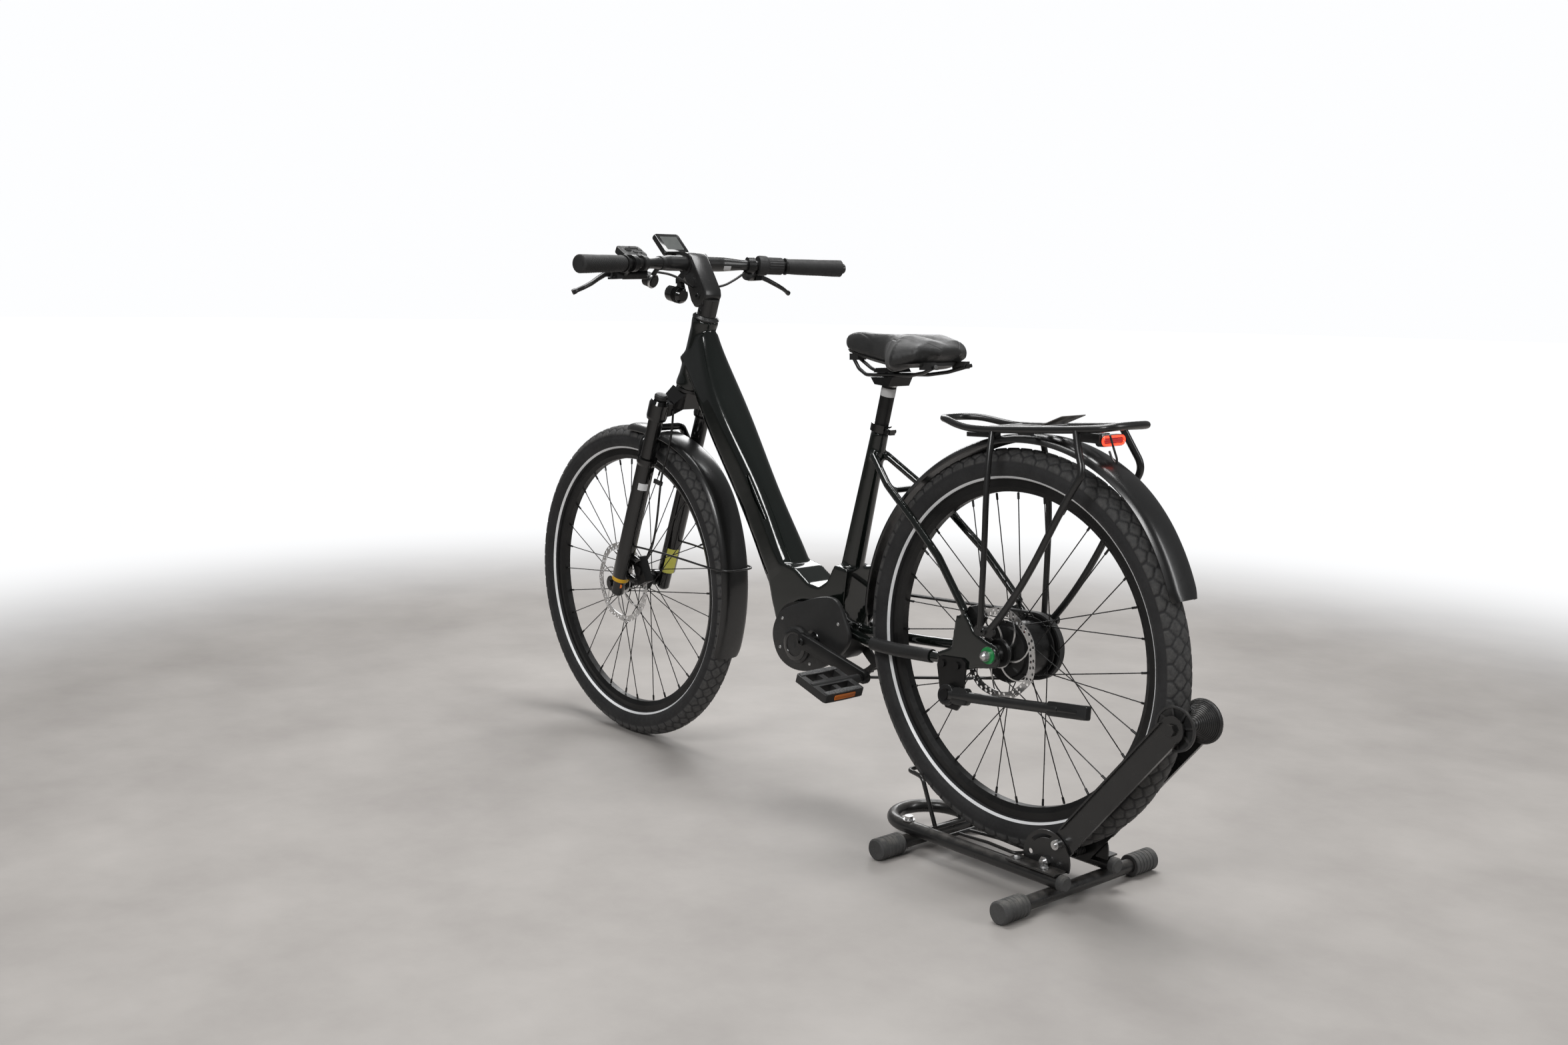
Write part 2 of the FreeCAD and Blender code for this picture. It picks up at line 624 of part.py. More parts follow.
def rear_caliper():
    return [caliper(REAR_CALIPER, REAR_HUB, REAR_ROTOR_Y, REAR_ROTOR_R, (56.0, 30.0), (13.0, 12.5), 1.2)]


def rear_axle():
    axle = ycyl(REAR_HUB, 5.0, -94.0, 94.0)
    nut = turned([(5.0, 0), (13.0, 0), (13.0, 1.5), (9.5, 1.6), (9.5, 9.0), (7.0, 15.0), (3.0, 18.0),
                  (0, 18.2), (0, 15.0), (5.0, 15.0)],
                 (0, 79.0, 350), (0, 100.0, 350))
    washer = ring((0, 76.1, 350), (0, 79.0, 350), 15.0, 5.0)
    return [joined([axle] + both(nut) + both(washer))]


KICK_PIVOT = (84.0, 80.0, 268.0)
KICK_LEAN = math.radians(12.0)


def kick_axis(d):
    """Point d outboard of the kickstand's pivot along its leaning pin."""
    return (KICK_PIVOT[0], KICK_PIVOT[1] + d * math.cos(KICK_LEAN), KICK_PIVOT[2] + d * math.sin(KICK_LEAN))


def kickstand_bracket():
    plate = prism([(50, 330), (60, 336), (112, 334), (118, 318), (110, 262), (98, 244), (72, 242),
                   (60, 256)], 76.2, 81.0)
    boss = cyl(kick_axis(-6.0), kick_axis(5.0), 18.0)
    boss = boss.cut(box((0, 200), (60, 76.2), (200, 400)))
    pin = cyl(kick_axis(0.0), kick_axis(20.5), 6.0)
    head = cyl(kick_axis(18.0), kick_axis(21.5), 9.5)
    bolts = [joined([ycyl(p, 4.0, 81.0, 83.0), ycyl(p, 6.5, 81.1, 85.0)]) for p in ((70, 322), (104, 322))]
    return [joined([plate, boss, pin, head] + bolts)]


def kickstand_leg():
    hub = cyl(kick_axis(5.5), kick_axis(17.5), 18.0)
    foot = (-222.0, kick_axis(12.0)[1] + 2.0, 290.0)
    arm = cone(kick_axis(11.5), foot, 5.8, 7.5)
    shoe = cone((-196.0, foot[1] - 0.2, 288.2), (-228.0, foot[1], 290.4), 10.5, 13.0)
    return [joined([hub, arm, shoe]).cut(cyl(kick_axis(0), kick_axis(30), 6.0 + FIT))]


def rear_hoses(triangle):
    hose = cord("rear brake hose", [(76, 55, 408), (82, 56, 424), (96, 58, 448), (122, 55, 479),
                                    (150, 52, 508), (180, 48, 541),
                                    (206, 46, 568), (230, 50, 577)], 2.5)
    cable = cord("tail light cable", [(-206, 20, 704.8), (-214, 24, 694), (-228, 31, 686), (-237, 40, 694),
                                      (-236, 49, 714),
                                      (-233, 54, 734)], 1.8)
    return [hose.cut(triangle), cable]


# ------------------------------------------------------------------ wheels

def rim(centre):
    half = [(RIM_IN_R, 7.0), (284, RIM_HALF_W), (RIM_OUT_R, RIM_HALF_W), (RIM_OUT_R, 10.0), (289, 10.0)]
    profile = half + [(r, -y) for r, y in reversed(half)]
    return lathe(profile, centre)


def tyre(centre):
    x, z = centre
    ring_r = WHEEL_R - TYRE_R
    outer = Part.makeTorus(ring_r, TYRE_R, V(x, 0, z), V(0, 1, 0))
    inner = Part.makeTorus(ring_r, TYRE_R - 3.6, V(x, 0, z), V(0, 1, 0))
    bed = ycyl(centre, RIM_OUT_R + 0.2, -RIM_HALF_W - 0.3, RIM_HALF_W + 0.3)
    return outer.cut([inner, bed])


def spokes(centre, flange_r, flange_y, crossing, step):
    """Laced spokes with nipples; crossing is the angle between a spoke's two ends, seen from the side."""
    solids = []
    for i in range(SPOKES):
        side = 1 if i % 2 == 0 else -1
        lead = 1 if (i // 2) % 2 == 0 else -1
        rim_a = 2 * math.pi * i / SPOKES
        hub_a = rim_a + lead * crossing
        hub_y = side * (flange_y + lead * step + (step - 2.6) * (lead > 0))
        a = (centre[0] + flange_r * math.cos(hub_a), hub_y, centre[1] + flange_r * math.sin(hub_a))
        b = (centre[0] + (RIM_IN_R - 0.6) * math.cos(rim_a), side * 2.5,
             centre[1] + (RIM_IN_R - 0.6) * math.sin(rim_a))
        long = (V(*b) - V(*a)).Length
        solids.append(turned([(0, 0), (1.0, 0), (1.0, long - 13), (2.1, long - 12), (2.1, long - 1),
                              (0, long)], a, b))
    return solids


def rotor(centre, r, y, seat_r):
    y0, y1 = y - ROTOR_T / 2, y + ROTOR_T / 2
    band = lathe([(r - 15, y0), (r, y0), (r, y1), (r - 15, y1)], centre)
    hub = lathe([(seat_r, y0), (seat_r + 12, y0), (seat_r + 12, y1), (seat_r, y1)], centre)
    arms = []
    for i in range(6):
        a = 2 * math.pi * i / 6
        b = a + 0.45
        root = (centre[0] + (seat_r + 8) * math.cos(a), centre[1] + (seat_r + 8) * math.sin(a))
        tip = (centre[0] + (r - 8) * math.cos(b), centre[1] + (r - 8) * math.sin(b))
        arms.append(link(root, tip, 5.0, 4.0, y0, y1))
    return joined([band, hub] + arms)


def front_hub():
    left = [(7.6, 49.4), (12.0, 49.4), (12.0, 38.0), (19.0, 36.4), (19.0, 30.0), (15.0, 28.5), (25.0, 28.5),
            (25.0, 25.5),
            (15.0, 25.5), (13.0, 18.0)]
    right = [(13.0, -18.0), (15.0, -25.5), (25.0, -25.5), (25.0, -28.5), (15.0, -28.5), (12.0, -34.0),
             (12.0, -49.4),
             (7.6, -49.4)]
    return [lathe(left + right, FRONT_HUB)]


def rear_hub():
    profile = [(5.1, 66.5), (14.0, 66.5), (16.0, 56.0), (24.0, 55.0), (24.0, 40.0), (44.0, 36.0),
               (46.0, 31.5), (54.0, 31.5),
               (54.0, 28.5), (48.0, 28.5), (48.0, -28.5), (54.0, -28.5), (54.0, -31.5), (44.0, -31.5),
               (40.0, -36.0),
               (17.0, -37.0), (17.0, -58.0), (13.0, -60.0), (13.0, -66.5), (5.1, -66.5)]
    return [lathe(profile, REAR_HUB)]


def rear_sprocket():
    outer = BELT_REAR_R - GAP
    disc = lathe([(17.3, -38.5), (outer, -38.5), (outer, -51.5), (outer - 8, -51.5), (outer - 8, -47.0),
                  (30.0, -47.0), (30.0, -54.0), (17.3, -54.0)],
                 REAR_HUB)
    holes = [ycyl((38.5 * math.cos(a), 350 + 38.5 * math.sin(a)), 5.0, -60, -30)
             for a in [2 * math.pi * i / 8 for i in range(8)]]
    return [disc.cut(holes)]


# ------------------------------------------------------------------ drive

def crank_end(turn):
    return (CRANK[0] + CRANK_LEN * math.cos(turn), CRANK[1] + CRANK_LEN * math.sin(turn))


def crankset():
    axle = ycyl(CRANK, AXLE_R, -90.0, 96.0)
    left_end, right_end = crank_end(CRANK_TURN), crank_end(CRANK_TURN + math.pi)
    left = link(CRANK, left_end, 17.0, 13.5, 84.0, 97.0)
    right = link(CRANK, right_end, 17.0, 13.5, -97.0, -84.0)
    spindles = [ycyl(left_end, 5.0, 97.0, 216.0), ycyl(right_end, 5.0, -216.0, -97.0)]
    outer = BELT_FRONT_R - GAP
    toothed = lathe([(outer - 12, -51.5), (outer, -51.5), (outer, -38.5), (outer - 12, -38.5)], CRANK)
    hub = lathe([(0, -50.0), (27.0, -50.0), (27.0, -38.5), (0, -38.5)], CRANK)
    arms = []
    for i in range(4):
        a = CRANK_TURN + math.pi / 4 + i * math.pi / 2
        tip = (CRANK[0] + (outer - 9) * math.cos(a), CRANK[1] + (outer - 9) * math.sin(a))
        arms.append(link(CRANK, tip, 14.0, 8.0, -49.5, -43.5))
    return [joined([axle, left, right, toothed, hub] + spindles + arms)]


def pedal(centre, side, tilt):
    y0, y1 = (129.0, 224.0)
    long, thick = 84.0, 15.0
    body = box((-long / 2, long / 2), (y0, y1), (-thick / 2, thick / 2))
    body = body.makeFillet(5.0, [e for e in body.Edges if e.BoundBox.ZLength > 10])
    windows = [box((-long / 2 + 12, -9.5), (y0 + 12, y1 - 12), (-20, 20)),
               box((9.5, long / 2 - 12), (y0 + 12, y1 - 12), (-20, 20))]
    bridges = [box((-long / 2 + 8, long / 2 - 8), (y - 6, y + 6), (-thick / 2 + 2, thick / 2 - 2))
               for y in (176.0,)]
    hub = cyl((0, 106.0, 0), (0, y1 - 2, 0), 9.0)
    shape = joined([body.cut(windows), hub] + bridges)
    shape = shape.cut(cyl((0, 90, 0), (0, 216.6, 0), 5.0 + FIT))
    shape.rotate(V(0, 0, 0), V(0, 1, 0), -tilt)
    if side < 0:
        shape = mirrored(shape)
    shape.translate(V(centre[0], 0, centre[1]))
    return [shape]


# ------------------------------------------------------------------ seat

def seatpost():
    post = cyl(seat_axis(-150), seat_axis(96), POST_R)
    head_low = prism([(290, 800), (326, 804), (336, 817), (280, 817)], -27.0, 27.0)
    head_top = prism([(284, 825.6), (328, 825.6), (322, 834), (290, 834)], -27.0, 27.0)
    bolts = [cyl((x, 0, 806), (x, 0, 833), 3.0) for x in (292.0, 322.0)]
    return [joined([post, head_low, head_top] + bolts)]


def rail_path(side):
    return [(152, side * 46, 838), (196, side * 32, 826), (236, side * 22, 821), (352, side * 22, 821),
            (378, side * 16, 832),
            (400, side * 8, 850)]


def saddle_rails(post):
    solids = [pipe(rail_path(s), 3.4, 30.0) for s in (-1, 1)]
    return [s.cut(post) for s in solids]


SADDLE = [(158, 30, 850, 866), (180, 72, 845, 880), (222, 90, 842, 887), (262, 82, 841, 890),
          (302, 50, 846, 894),
          (340, 31, 852, 898), (384, 24, 862, 901), (410, 19, 870, 899), (423, 9, 878, 892)]


def saddle_section(x, w, low, top):
    pts = [V(x, -w, low), V(x, -w * 1.0, low + (top - low) * 0.45),
           V(x, -w * 0.72, top - (top - low) * 0.1), V(x, 0, top),
           V(x, w * 0.72, top - (top - low) * 0.1), V(x, w * 1.0, low + (top - low) * 0.45), V(x, w, low)]
    spline = Part.BSplineCurve()
    spline.interpolate(pts)
    return Part.Wire([spline.toShape(), Part.LineSegment(pts[-1], pts[0]).toShape()])


def saddle_pad():
    return [Part.makeLoft([saddle_section(*s) for s in SADDLE], True, True)]


def saddle_shell():
    sections = []
    for x, w, low, _ in SADDLE[1:-1]:
        half = w - 4.0
        sections.append(Part.makePolygon([V(x, -half, low - 1.2), V(x, half, low - 1.2),
                                          V(x, half * 0.7, low - 7.0),
                                          V(x, -half * 0.7, low - 7.0), V(x, -half, low - 1.2)]))
    shell = Part.makeLoft(sections, True, True)
    lug = [box((146 + 14, 190), (s * 46 - 7, s * 46 + 7), (832, 845)) for s in (-1, 1)]
    nose = box((386, 408), (-13, 13), (848, 860))
    shell = joined([shell, nose] + lug)
    return [shell.cut([pipe(rail_path(s), 3.6, 30.0) for s in (-1, 1)] + saddle_pad())]


# ------------------------------------------------------------------ steering

def fork_upper():
    steerer = cyl(on_steer(450), on_steer(655), 14.3)
    stanchions = [cyl(on_steer(150, s * LEG_Y, LEG_F), on_steer(440, s * LEG_Y, LEG_F), STANCHION_R)
                  for s in (-1, 1)]
    sockets = [turned([(0, 0), (20.5, 0), (22.0, 6), (22.0, 36), (18.0, 44), (0, 44)],
                      on_steer(397, s * LEG_Y, LEG_F), on_steer(500, s * LEG_Y, LEG_F)) for s in (-1, 1)]
    wires = []
    for y, f, half_f, s0, s1 in ((-LEG_Y, LEG_F, 14, 404, 436), (-44, 8, 20, 412, 439),
                                 (-22, 4, 25, 430, 466),
                                 (22, 4, 25, 430, 466), (44, 8, 20, 412, 439),
                                 (LEG_Y, LEG_F, 14, 404, 436)):
        corners = [on_steer(s0, y, f - half_f), on_steer(s0, y, f + half_f), on_steer(s1, y, f + half_f),
                   on_steer(s1, y, f - half_f)]
        wires.append(Part.makePolygon([V(*c) for c in corners + corners[:1]]))
    yoke = Part.makeLoft(wires, True, True)
    return [joined([steerer, yoke] + stanchions + sockets)]


def lockout_knob():
    return [turned([(0, 0), (13.0, 0), (14.0, 2), (14.0, 9), (11.0, 12), (4.0, 12.5), (0, 12.5)],
                   on_steer(441.6, LEG_Y, LEG_F), on_steer(500, LEG_Y, LEG_F))]


def bar_solid(r, fat):
    half = pipe([BAR_CENTRE, BAR_BEND, BAR_END], r, 90.0)
    shapes = both(half)
    if fat:
        c = BAR_CENTRE
        shapes.append(turned([(0, -34), (r, -34), (fat, -24), (fat, 24), (r, 34), (0, 34)], c,
                             (c[0], 50, c[2])))
    return joined(shapes)


def stem(steerer_part):
    s0 = HEAD_TOP + 8.6
    collar = cyl(on_steer(s0), on_steer(s0 + 36), 20.0)
    knuckle = ycyl((853.0, 978.0), 19.0, -21.0, 21.0)
    neck = Part.makeLoft([rounded_section((856, 0, 984), (0.87, -0.49), 17.0, 15.0, 9.0),
                          rounded_section((884, 0, 1034), (0.87, -0.49), 16.0, 20.0, 9.0)], True, True)
    clamp = ycyl((BAR_CENTRE[0], BAR_CENTRE[2]), 23.0, -24.0, 24.0)
    mast = prism([(906, 1058), (930, 1064), (944, 1062), (944, 1054), (930, 1052), (912, 1040)], -13.0, 13.0)
    mast = mast.cut([ycyl((938.0, 1058.0), 9.0, -8.0, 8.0), box((929, 960), (-8, 8), (1040, 1080))])
    hanger = prism([(902, 1030), (914, 1036), (944, 1016), (944, 1006), (934, 1006), (906, 1022)], -10.0,
                   10.0)
    hanger = hanger.cut(box((928, 960), (-5.5, 5.5), (990, 1030)))
    pins = [ycyl((938.0, 1058.0), 2.0, -12.0, 12.0), ycyl((939.0, 1011.0), 2.0, -9.5, 9.5)]
    bolt = ycyl((853.0, 978.0), 8.0, -24.0, 24.0)
    shape = joined([collar, knuckle, neck, clamp, mast, hanger, bolt] + pins)
    cuts = [steerer_part, bar_solid(BAR_R + FIT, 16.0), ycyl((BAR_CENTRE[0], BAR_CENTRE[2]), 16.0, -24.5,
                                                             24.5),
            cyl(on_steer(600), on_steer(656), 14.5)]
    return [shape.cut(cuts)]


def handlebar():
    return [bar_solid(BAR_R, 15.9)]


def along_bar(y0, y1, ro, ri):
    return ring(on_bar(y0), on_bar(y1), ro, ri)


def grips():
    solids = []
    for s in (-1, 1):
        sleeve = along_bar(s * 216, s * 344, 16.5, BAR_R + FIT)
        lock = along_bar(s * 212, s * 215.8, 18.0, BAR_R + FIT)
        wing = cone(on_bar(s * 300), on_bar(s * 344.5), 16.5,
                    19.0).cut(cyl(on_bar(s * 290), on_bar(s * 346), BAR_R + FIT))
        solids.append(joined([sleeve, lock, wing]))
    return solids


BELL_Y = 93.0
REMOTE = (893.0, 160.0, 1066.0)
REMOTE_TILT = 30.0
LEVER_PIVOT = (926.0, 186.0, 1024.0)
LEVER_PATH = [(926, 186, 1024), (922, 213, 1020), (914, 240, 1003), (912, 264, 988), (922, 287, 974)]


def pivot_post(side, low, high, r):
    """Upright cylinder on a brake lever's pivot, from low to high about the lever's middle."""
    x, y, z = LEVER_PIVOT
    return cyl((x, side * y, z + low), (x, side * y, z + high), r)


def brake_bodies():
    solids = []
    for s in (-1, 1):
        y = 186.0 if s > 0 else -136.0
        clamp = along_bar(y - 7, y + 7, 17.0, BAR_R + FIT)
        x, _, z = on_bar(y)
        arm = cone((x + 14, y, z - 3), (906, s * 168, 1027), 9.0, 11.0)
        tank = cyl((878, s * 132, 1023), (911, s * 171, 1023), 11.0)
        sides = sorted((s * 176, s * 192))
        ears = [pivot_post(s, 7.2, 11.0, 9.0), pivot_post(s, -11.0, -7.2, 9.0)]
        webs = [box((902, 926), sides, (LEVER_PIVOT[2] + low, LEVER_PIVOT[2] + low + 3.8))
                for low in (7.2, -11.0)]
        heel = box((900, 910), sides, (LEVER_PIVOT[2] - 11.0, LEVER_PIVOT[2] + 11.0))
        body = joined([clamp, arm, tank, heel] + ears + webs)
        body = body.cut([pivot_post(s, -6.9, 6.9, 14.0), cyl(on_bar(s * 100), on_bar(s * 240), BAR_R + FIT)])
        solids.append(joined([body, pivot_post(s, -10.5, 10.5, 3.0)]))
    return solids


def lever(side):
    pts = [(x, side * y, z) for x, y, z in LEVER_PATH]
    blade_solid = pipe(pts, 4.5, 30.0)
    return [joined([blade_solid, pivot_post(side, -6.4, 6.4, 8.5)]).cut(pivot_post(side, -20, 20, 3.0 + FIT))]


def twist_shifter():
    a, b = on_bar(-152), on_bar(-209)
    profile = [(BAR_R + GAP, 0), (20.0, 0), (21.0, 3), (21.0, 18), (17.5, 22), (17.0, 57), (BAR_R + GAP, 57)]
    return [turned(profile, a, b)]


def bar_controls():
    ring_left = along_bar(146, 158, 15.5, BAR_R + FIT)
    panel = box((-17, 17), (-26, 24), (-6, 6))
    panel = panel.makeFillet(4.0, panel.Edges)
    panel.rotate(V(0, 0, 0), V(0, 1, 0), -REMOTE_TILT)
    panel.translate(V(*REMOTE))
    remote = joined([ring_left, panel, cyl((872, 152, 1052), (888, 152, 1062), 8.0)])
    remote = remote.cut([bar_solid(BAR_R + FIT, 0), button_room()])
    bell_ring = along_bar(BELL_Y - 5, BELL_Y + 5, 14.5, BAR_R + FIT)
    dome = turned([(0, 0), (13.0, 0), (15.0, 3), (15.0, 20), (12.5, 22), (12.5, 25), (0, 25)],
                  (934, BELL_Y + 3, 1017),
                  (910, BELL_Y - 6, 1007))
    stalk = cyl((894, BELL_Y, 1036), (918, BELL_Y, 1016), 5.0)
    bell = joined([bell_ring, stalk, dome]).cut(bar_solid(BAR_R + FIT, 0))
    return [remote, bell]


def button_axis(d):
    """Point d out of the remote's face, which looks up and back."""
    a = math.radians(REMOTE_TILT)
    return (REMOTE[0] - (6 + d) * math.sin(a), REMOTE[1] + 10.0, REMOTE[2] + (6 + d) * math.cos(a))


def button_room():
    return cyl(button_axis(-3.2), button_axis(4), 7.4)


def remote_button():
    return [cyl(button_axis(-1.6), button_axis(1.2), 7.0)]


def bell_lever():
    y0 = BELL_Y + 20.0
    arm = prism([(926, 1022), (912, 1026), (900, 1020), (896, 1010), (901, 1009), (908, 1017), (926, 1015)],
                y0, y0 + 4)
    return [joined([arm, ycyl((926, 1018.5), 4.0, y0 - 1, y0 + 5)])]


def steering_hoses():
    left = cord("front brake hose", [(866, 115, 1026), (852, 96, 1022), (845, 72, 1012), (850, 48, 1000),
                                     (862, 30, 996), (872, 18.5, 998)], 2.5)
    right = cord("rear brake hose at the bar", [(866, -115, 1026), (852, -96, 1022), (845, -72, 1012),
                                                (850, -48, 1000), (862, -30, 996), (872, -18.5, 998)], 2.5)
    lamp = cord("headlight cable", [(900, -12, 1020), (912, -24, 1012), (914, -28, 998), (904, -24, 986),
                                    (888, -19, 994)], 1.8)
    return [left, right, lamp]


def display():
    slab = box((-30, 30), (-33, 33), (-7, 7))
    slab = slab.makeFillet(6.0, slab.Edges)
    slab.rotate(V(0, 0, 0), V(0, 1, 0), -45)
    slab.translate(V(972, 0, 1087))
    knuckle = ycyl((938.0, 1058.0), 6.5, -7.5, 7.5)
    arm = link((938.0, 1058.0), (968, 1074), 6.0, 6.0, -7.5, 7.5)
    return [joined([slab, knuckle, arm]).cut(ycyl((938.0, 1058.0), 2.0 + FIT, -20, 20))]


def headlight():
    body = turned([(0, 0), (12.0, 0), (17.0, 6), (17.5, 36), (17.0, 44), (15.0, 46), (0, 44)],
                  (931, 0, 980), (976, 0, 988))
    tab = prism([(930, 996), (948, 999), (944, 1014), (935, 1014)], -5.0, 5.0)
    return [joined([body, tab]).cut(ycyl((939.0, 1011.0), 2.0 + FIT, -20, 20))]


def fork_lower():
    legs = []
    for s in (-1, 1):
        tube = turned([(0, -28), (11.0, -28), (14.0, -24), (14.0, 40), (19.5, 75), (19.5, 290), (22.0, 296),
                       (22.0, 306), (STANCHION_R + FIT, 306),
                       (STANCHION_R + FIT, 60), (0, 60)], on_steer(0, s * LEG_Y, LEG_F),
                       on_steer(100, s * LEG_Y, LEG_F))
        hub = (FRONT_HUB[0], s * 50.2, FRONT_HUB[1])
        eye = cyl(hub, (hub[0], s * 68.0, hub[2]), 17.0)
        legs.append(tube)
        legs.append(eye)
    half_arch = [on_steer(292, LEG_Y, LEG_F + 20), on_steer(330, LEG_Y - 3, LEG_F + 31),
                 on_steer(362, 36, LEG_F + 31)]
    arch = pipe(half_arch + [(x, -y, z) for x, y, z in reversed(half_arch)], 8.0, 22.0)
    bores = [cyl(on_steer(60, s * LEG_Y, LEG_F), on_steer(420, s * LEG_Y, LEG_F), STANCHION_R + FIT)
             for s in (-1, 1)]
    axle = ycyl(FRONT_HUB, 7.5, -72.0, 74.0)
    lugs = [cyl(on_steer(s, LEG_Y - 8, LEG_F), on_steer(s, LEG_Y - 10, LEG_F - 34), 7.0) for s in (22, 70)]
    return [joined(legs + [arch, axle] + lugs).cut(bores)]


def front_mudguard(lowers):
    shape = mudguard(FRONT_HUB, FRONT_GUARD, 34.0)
    wire = pipe([(1046, 62, 440), (1000, 60, 438), (900, 48, 426), (800, 40, 414), (760, 34, 412),
                 (754, 0, 412),
                 (760, -34, 412), (800, -40, 414), (900, -48, 426), (1000, -60, 438), (1046, -62, 440)],
                 2.0, 20.0)
    clip = box((756, 762), (-8, 8), (404, 418))
    return [joined([shape, wire, clip]).cut(lowers)]


def front_caliper(lowers):
    return [caliper(FRONT_CALIPER, FRONT_HUB, FRONT_ROTOR_Y, FRONT_ROTOR_R, (60.0, 30.0), (7.8, 12.5),
                    4.0).cut(lowers)]


# ------------------------------------------------------------------ write the nodes

def main():
    frame = main_frame()
    triangle = rear_triangle(frame[0])
    stanchion_part = fork_upper()
    lowers = fork_lower()
    post = seatpost()
    stand = {
        "stand_tubes": stand_tubes(), "stand_end_caps": stand_end_caps(), "stand_brackets": stand_brackets(),
        "stand_wheel_guide": stand_wheel_guide(), "stand_fasteners": stand_fasteners(),
        "stand_spring": stand_spring(),
        "stand_arm": stand_arm(), "stand_roller": stand_roller(),
    }
    bike = {
        "main_frame": frame, "rear_triangle": triangle, "battery": battery(), "motor_unit": motor_unit(),
        "frame_covers": frame_covers(), "headset_cups": headset_cups(), "seat_clamp": seat_clamp(),
        "drive_belt": drive_belt(), "rear_mudguard": rear_mudguard(), "rack": rack(),
        "tail_light": tail_light(),
        "rear_caliper": rear_caliper(), "rear_axle": rear_axle(), "kickstand_bracket": kickstand_bracket(),
        "kickstand_leg": kickstand_leg(), "rear_hoses": rear_hoses(triangle[0]),
        "rear_rim": [rim(REAR_HUB)], "rear_tyre": [tyre(REAR_HUB)], "rear_hub": rear_hub(),
        "rear_spokes": spokes(REAR_HUB, 50.0, 30.0, math.radians(45), 3.2),
        "rear_rotor": [rotor(REAR_HUB, REAR_ROTOR_R, REAR_ROTOR_Y, 24.2)], "rear_sprocket": rear_sprocket(),
        "front_rim": [rim(FRONT_HUB)], "front_tyre": [tyre(FRONT_HUB)], "front_hub": front_hub(),
        "front_spokes": spokes(FRONT_HUB, 21.5, 27.0, math.radians(67.5), 3.0),
        "front_rotor": [rotor(FRONT_HUB, FRONT_ROTOR_R, FRONT_ROTOR_Y, 19.2)],
        "crankset": crankset(), "left_pedal": pedal(crank_end(CRANK_TURN), 1, 20.0),
        "right_pedal": pedal(crank_end(CRANK_TURN + math.pi), -1, 8.0),
        "seatpost": post, "saddle_rails": saddle_rails(post[0]), "saddle_shell": saddle_shell(),
        "saddle_pad": saddle_pad(),
        "fork_upper": stanchion_part, "lockout_knob": lockout_knob(), "stem": stem(stanchion_part[0]),
        "handlebar": handlebar(), "grips": grips(), "brake_bodies": brake_bodies(), "left_lever": lever(1),
        "right_lever": lever(-1), "twist_shifter": twist_shifter(), "bar_controls": bar_controls(),
        "remote_button": remote_button(), "bell_lever": bell_lever(), "steering_hoses": steering_hoses(),
        "display": display(), "headlight": headlight(),
        "fork_lower": lowers, "front_mudguard": front_mudguard(lowers[0]),
        "front_caliper": front_caliper(lowers[0]),
    }
    for name, solids in stand.items():
        save(name, solids, place_stand)
    for name, solids in bike.items():
        save(name, solids, place_bike)


os.makedirs("parts", exist_ok=True)
main()
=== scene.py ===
import json
import math

import bmesh
import bpy
import numpy as np
from mathutils import Matrix, Vector


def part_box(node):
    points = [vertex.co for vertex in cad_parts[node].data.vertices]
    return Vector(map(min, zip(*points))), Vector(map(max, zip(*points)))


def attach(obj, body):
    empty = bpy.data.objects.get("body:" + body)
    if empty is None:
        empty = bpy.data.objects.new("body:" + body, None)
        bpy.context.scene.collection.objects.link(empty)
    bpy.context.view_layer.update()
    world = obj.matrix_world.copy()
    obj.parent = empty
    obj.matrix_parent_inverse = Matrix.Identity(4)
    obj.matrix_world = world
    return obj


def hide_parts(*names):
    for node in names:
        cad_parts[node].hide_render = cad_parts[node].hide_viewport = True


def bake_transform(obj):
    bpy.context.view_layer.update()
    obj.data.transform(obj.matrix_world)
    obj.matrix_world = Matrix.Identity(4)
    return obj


# Electric trekking bicycle held by its rear wheel in a floor stand. Metres, +X forward, +Y left, +Z up.
# Shapes are drawn in millimetres on the level bicycle and turned into the frame by bike() and steer().

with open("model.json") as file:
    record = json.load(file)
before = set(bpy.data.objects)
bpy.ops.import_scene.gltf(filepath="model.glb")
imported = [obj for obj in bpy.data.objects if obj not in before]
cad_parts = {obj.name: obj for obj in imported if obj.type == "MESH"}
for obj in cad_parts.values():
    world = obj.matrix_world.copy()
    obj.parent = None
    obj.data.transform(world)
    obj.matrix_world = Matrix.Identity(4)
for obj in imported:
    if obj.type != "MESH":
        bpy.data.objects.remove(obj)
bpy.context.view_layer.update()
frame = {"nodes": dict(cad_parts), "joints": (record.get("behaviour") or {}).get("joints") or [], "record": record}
NODES = frame["nodes"]
JOINTS = {j["name"]: j for j in frame["joints"]}

REAR = Vector(JOINTS["rear_wheel_spin"]["pos_m"])
FRONT = Vector(JOINTS["front_wheel_spin"]["pos_m"])
CRANK = Vector(JOINTS["crank_spin"]["pos_m"])
ROLLER = Vector(JOINTS["roller_spin"]["pos_m"])
HUB_Z = 0.350
ALONG = (FRONT - REAR).normalized()
UP = Vector((-ALONG.z, 0, ALONG.x))
LEFT = Vector((0, 1, 0))
STEER = Vector(JOINTS["steer"]["axis"]).normalized()
AHEAD = Vector((STEER.z, 0, -STEER.x))
STEER_FOOT = FRONT + ALONG * (1.0925 - 1.128)
LEG_Y, LEG_F = 63, 10
SEAT = Vector(JOINTS["seat_height"]["axis"]).normalized()


def bike(x, y, z):
    """Point of the level bicycle's drawing, in millimetres, in the frame."""
    return REAR + ALONG * (x / 1000) + LEFT * (y / 1000) + UP * (z / 1000 - HUB_Z)


